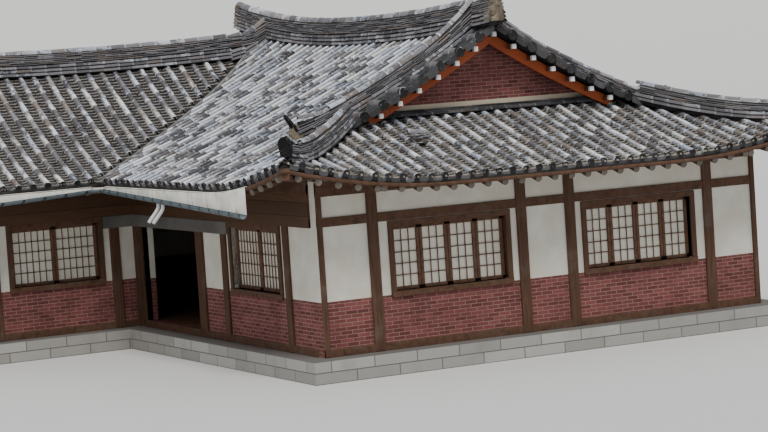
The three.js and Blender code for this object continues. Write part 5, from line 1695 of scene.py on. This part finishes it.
class HANOK_OT_gables(bpy.types.Operator):
    """Brick the gables, and set their boards, blocks and foot rows"""
    bl_idname = "hanok.gables"
    bl_label = "Gables"

    def execute(self, context):
        foot = skirt_profile(main_profile, EAVE_X, SKIRT + VERGE)
        wing_foot = skirt_profile(wing_profile, WING_HALF, WING_SKIRT + VERGE)
        dress(brick_finish("gable brick", foot + 0.02, foot + 0.118), "front_gable_wall", "rear_gable_wall")
        dress(brick_finish("wing gable brick", wing_foot + 0.02, wing_foot + 0.118), "wing_gable_wall")
        barge_set("front_barge_set", "front_bargeboards", BARGE_REACH, lambda u: main_top(u, 0.0) - BED,
                  lambda along, depth, z: (along, depth, z))
        barge_set("rear_barge_set", "rear_bargeboards", BARGE_REACH, lambda u: main_top(u, RIDGE_LENGTH) - BED,
                  lambda along, depth, z: (along, RIDGE_LENGTH - depth, z))
        barge_set("wing_barge_set", "wing_bargeboards", WING_BARGE_REACH,
                  lambda u: wing_top(WING_GABLE_X, WING_RIDGE_Y + u) - BED,
                  lambda along, depth, z: (WING_GABLE_X + depth, WING_RIDGE_Y + along, z))
        reach, wing_reach, inset = 2.22, 1.28, 0.19
        z, wing_z, back_y, x = foot + 0.01, wing_foot + 0.01, RIDGE_LENGTH - inset, WING_GABLE_X + inset
        foot_band("front_foot_row", (-reach, inset, z), (reach, inset, z), (0, -1, 0))
        foot_band("rear_foot_row", (reach, back_y, z), (REAR_STEP_X + 0.1, back_y, z), (0, 1, 0))
        foot_band("wing_foot_row", (x, WING_RIDGE_Y + wing_reach, wing_z), (x, WING_RIDGE_Y - wing_reach, wing_z),
                  (-1, 0, 0))
        return {"FINISHED"}


class HANOK_OT_eaves(bpy.types.Operator):
    """Set the rafters, their boards and the hip timbers"""
    bl_idname = "hanok.eaves"
    bl_label = "Eaves"

    def execute(self, context):
        for eave in eaves():
            lay_eave(eave)
        return {"FINISHED"}


class HANOK_OT_walls(bpy.types.Operator):
    """Finish the walls, with their timber frames"""
    bl_idname = "hanok.walls"
    bl_label = "Walls"

    def execute(self, context):
        finish = brick_finish("wall brick", -1.0, -0.9, PLINTH_TOP + WINDOW_SILL - 0.05)
        dress(finish, "front_wall", "right_wall", "rear_wall", "main_left_wall", "wing_front_wall", "wing_end_wall")
        for face in faces():
            timber_frame(face)
        dress(stone_finish(), "main_foundation", "wing_foundation")
        dress(plank_finish("floor boards", (0.20, 0.105, 0.048), 0.14, "X"), "main_floor", "wing_floor")
        return {"FINISHED"}


class HANOK_OT_windows(bpy.types.Operator):
    """Paper the windows and set their lattice"""
    bl_idname = "hanok.windows"
    bl_label = "Windows"

    def execute(self, context):
        dress(paper_finish(), "front_windows", "right_windows", "rear_windows", "main_left_window",
              "wing_front_windows", "wing_end_window")
        for face in faces():
            lattice(face)
        return {"FINISHED"}


class HANOK_OT_drainage(bpy.types.Operator):
    """Finish the aprons, gutters and spouts"""
    bl_idname = "hanok.drainage"
    bl_label = "Aprons and gutters"

    def execute(self, context):
        ivory = sheet_finish("ivory sheet", tuple(walls().apron), 0.8)
        blue = sheet_finish("blue-grey sheet", (0.12, 0.155, 0.17), 0.2, joints=0.38)
        white = sheet_finish("white pipe", (0.72, 0.73, 0.74), 0.05)
        dress(ivory, "main_left_apron", "wing_front_apron")
        dress(blue, "main_left_gutter", "wing_front_gutter")
        dress(white, "main_left_near_spout", "main_left_far_spout")
        settle("courtyard_sheet", courtyard_sheet(ivory, blue))
        return {"FINISHED"}


FLOOR_RINGS = ((0.5, 0.0), (60, 0.0), (100, 0.0), (120, 1.5), (138, 6.5), (153, 15.0), (164, 27.0), (171, 41.0),
               (174, 57.0))
# The camera that was fitted to the roof lines of the photo, in metres, millimetres and degrees
CAMERA_PLACE = (-21.340, -37.300, 5.216)
FOCAL_LENGTH = 122.93
YAW, PITCH, ROLL = 27.243, 3.955, 3.751


class HANOK_OT_stage(bpy.types.Operator):
    """Set the floor, the light and the camera"""
    bl_idname = "hanok.stage"
    bl_label = "Stage"

    def execute(self, context):
        scene = context.scene
        rings = [[(x, y, height - 0.002) for x, y in on_circle(radius, 72)] for radius, height in FLOOR_RINGS]
        floor = soften(loft("floor", rings, closed=True, first_cap=True))
        make = Finish("pale floor", roughness=0.9, specular=0.1)
        grain = make.noise(0.6, 3.0, 0.5)
        tone = make.mix(grain, (0.60, 0.60, 0.585), (0.63, 0.63, 0.615))
        stage = placed("floor", finished(floor, make.done(tone)))
        sun = bpy.data.lights.new("sun", "SUN")
        sun.energy = 2.8
        sun.angle = 0.4
        sun.color = (1.0, 0.97, 0.92)
        lamp = placed("sun", sun)
        lamp.rotation_euler = Vector((0.30, 0.55, -1.0)).to_track_quat("-Z", "Y").to_euler()
        world = bpy.data.worlds.new("studio")
        world.use_nodes = True
        sky = world.node_tree.nodes["Background"].inputs
        sky["Color"].default_value = (0.86, 0.91, 1.0, 1.0)
        sky["Strength"].default_value = 0.7
        scene.world = world
        lens = bpy.data.cameras.new("camera")
        lens.sensor_width = 36.0
        lens.lens = FOCAL_LENGTH
        lens.clip_end = 400.0
        camera = placed("camera", lens)
        yaw, pitch, roll = (math.radians(angle) for angle in (YAW, PITCH, ROLL))
        look = Vector((math.sin(yaw) * math.cos(pitch), math.cos(yaw) * math.cos(pitch), -math.sin(pitch)))
        right = Vector((math.cos(yaw), -math.sin(yaw), 0.0))
        up = right.cross(look)
        turned_right = right * math.cos(roll) - up * math.sin(roll)
        turned_up = right * math.sin(roll) + up * math.cos(roll)
        turn = Matrix((turned_right, turned_up, -look)).transposed()
        camera.matrix_world = Matrix.Translation(CAMERA_PLACE) @ turn.to_4x4()
        scene.camera = camera
        return {"FINISHED"}


class HANOK_PT_panel(bpy.types.Panel):
    """Sizes, colours and steps of the house"""
    bl_idname = "HANOK_PT_panel"
    bl_label = "Hanok house"
    bl_space_type = "VIEW_3D"
    bl_region_type = "UI"
    bl_category = "Hanok"

    def draw(self, context):
        layout = self.layout
        for settings in (context.scene.hanok_roof, context.scene.hanok_walls):
            column = layout.column()
            for name in settings.__annotations__:
                column.prop(settings, name)
        for step in STEPS:
            layout.operator(step.bl_idname)


STEPS = (HANOK_OT_beds, HANOK_OT_slopes, HANOK_OT_skirts, HANOK_OT_ridges, HANOK_OT_gables, HANOK_OT_eaves,
         HANOK_OT_walls, HANOK_OT_windows, HANOK_OT_drainage, HANOK_OT_stage)
CLASSES = (HanokRoofSettings, HanokWallSettings, *STEPS, HANOK_PT_panel)


def register():
    for cls in CLASSES:
        bpy.utils.register_class(cls)
    bpy.types.Scene.hanok_roof = bpy.props.PointerProperty(type=HanokRoofSettings)
    bpy.types.Scene.hanok_walls = bpy.props.PointerProperty(type=HanokWallSettings)


def unregister():
    del bpy.types.Scene.hanok_walls
    del bpy.types.Scene.hanok_roof
    for cls in reversed(CLASSES):
        bpy.utils.unregister_class(cls)


def main():
    register()
    for step in STEPS:
        group, name = step.bl_idname.split(".")
        getattr(getattr(bpy.ops, group), name)()
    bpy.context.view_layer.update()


if __name__ == "__main__":
    main()
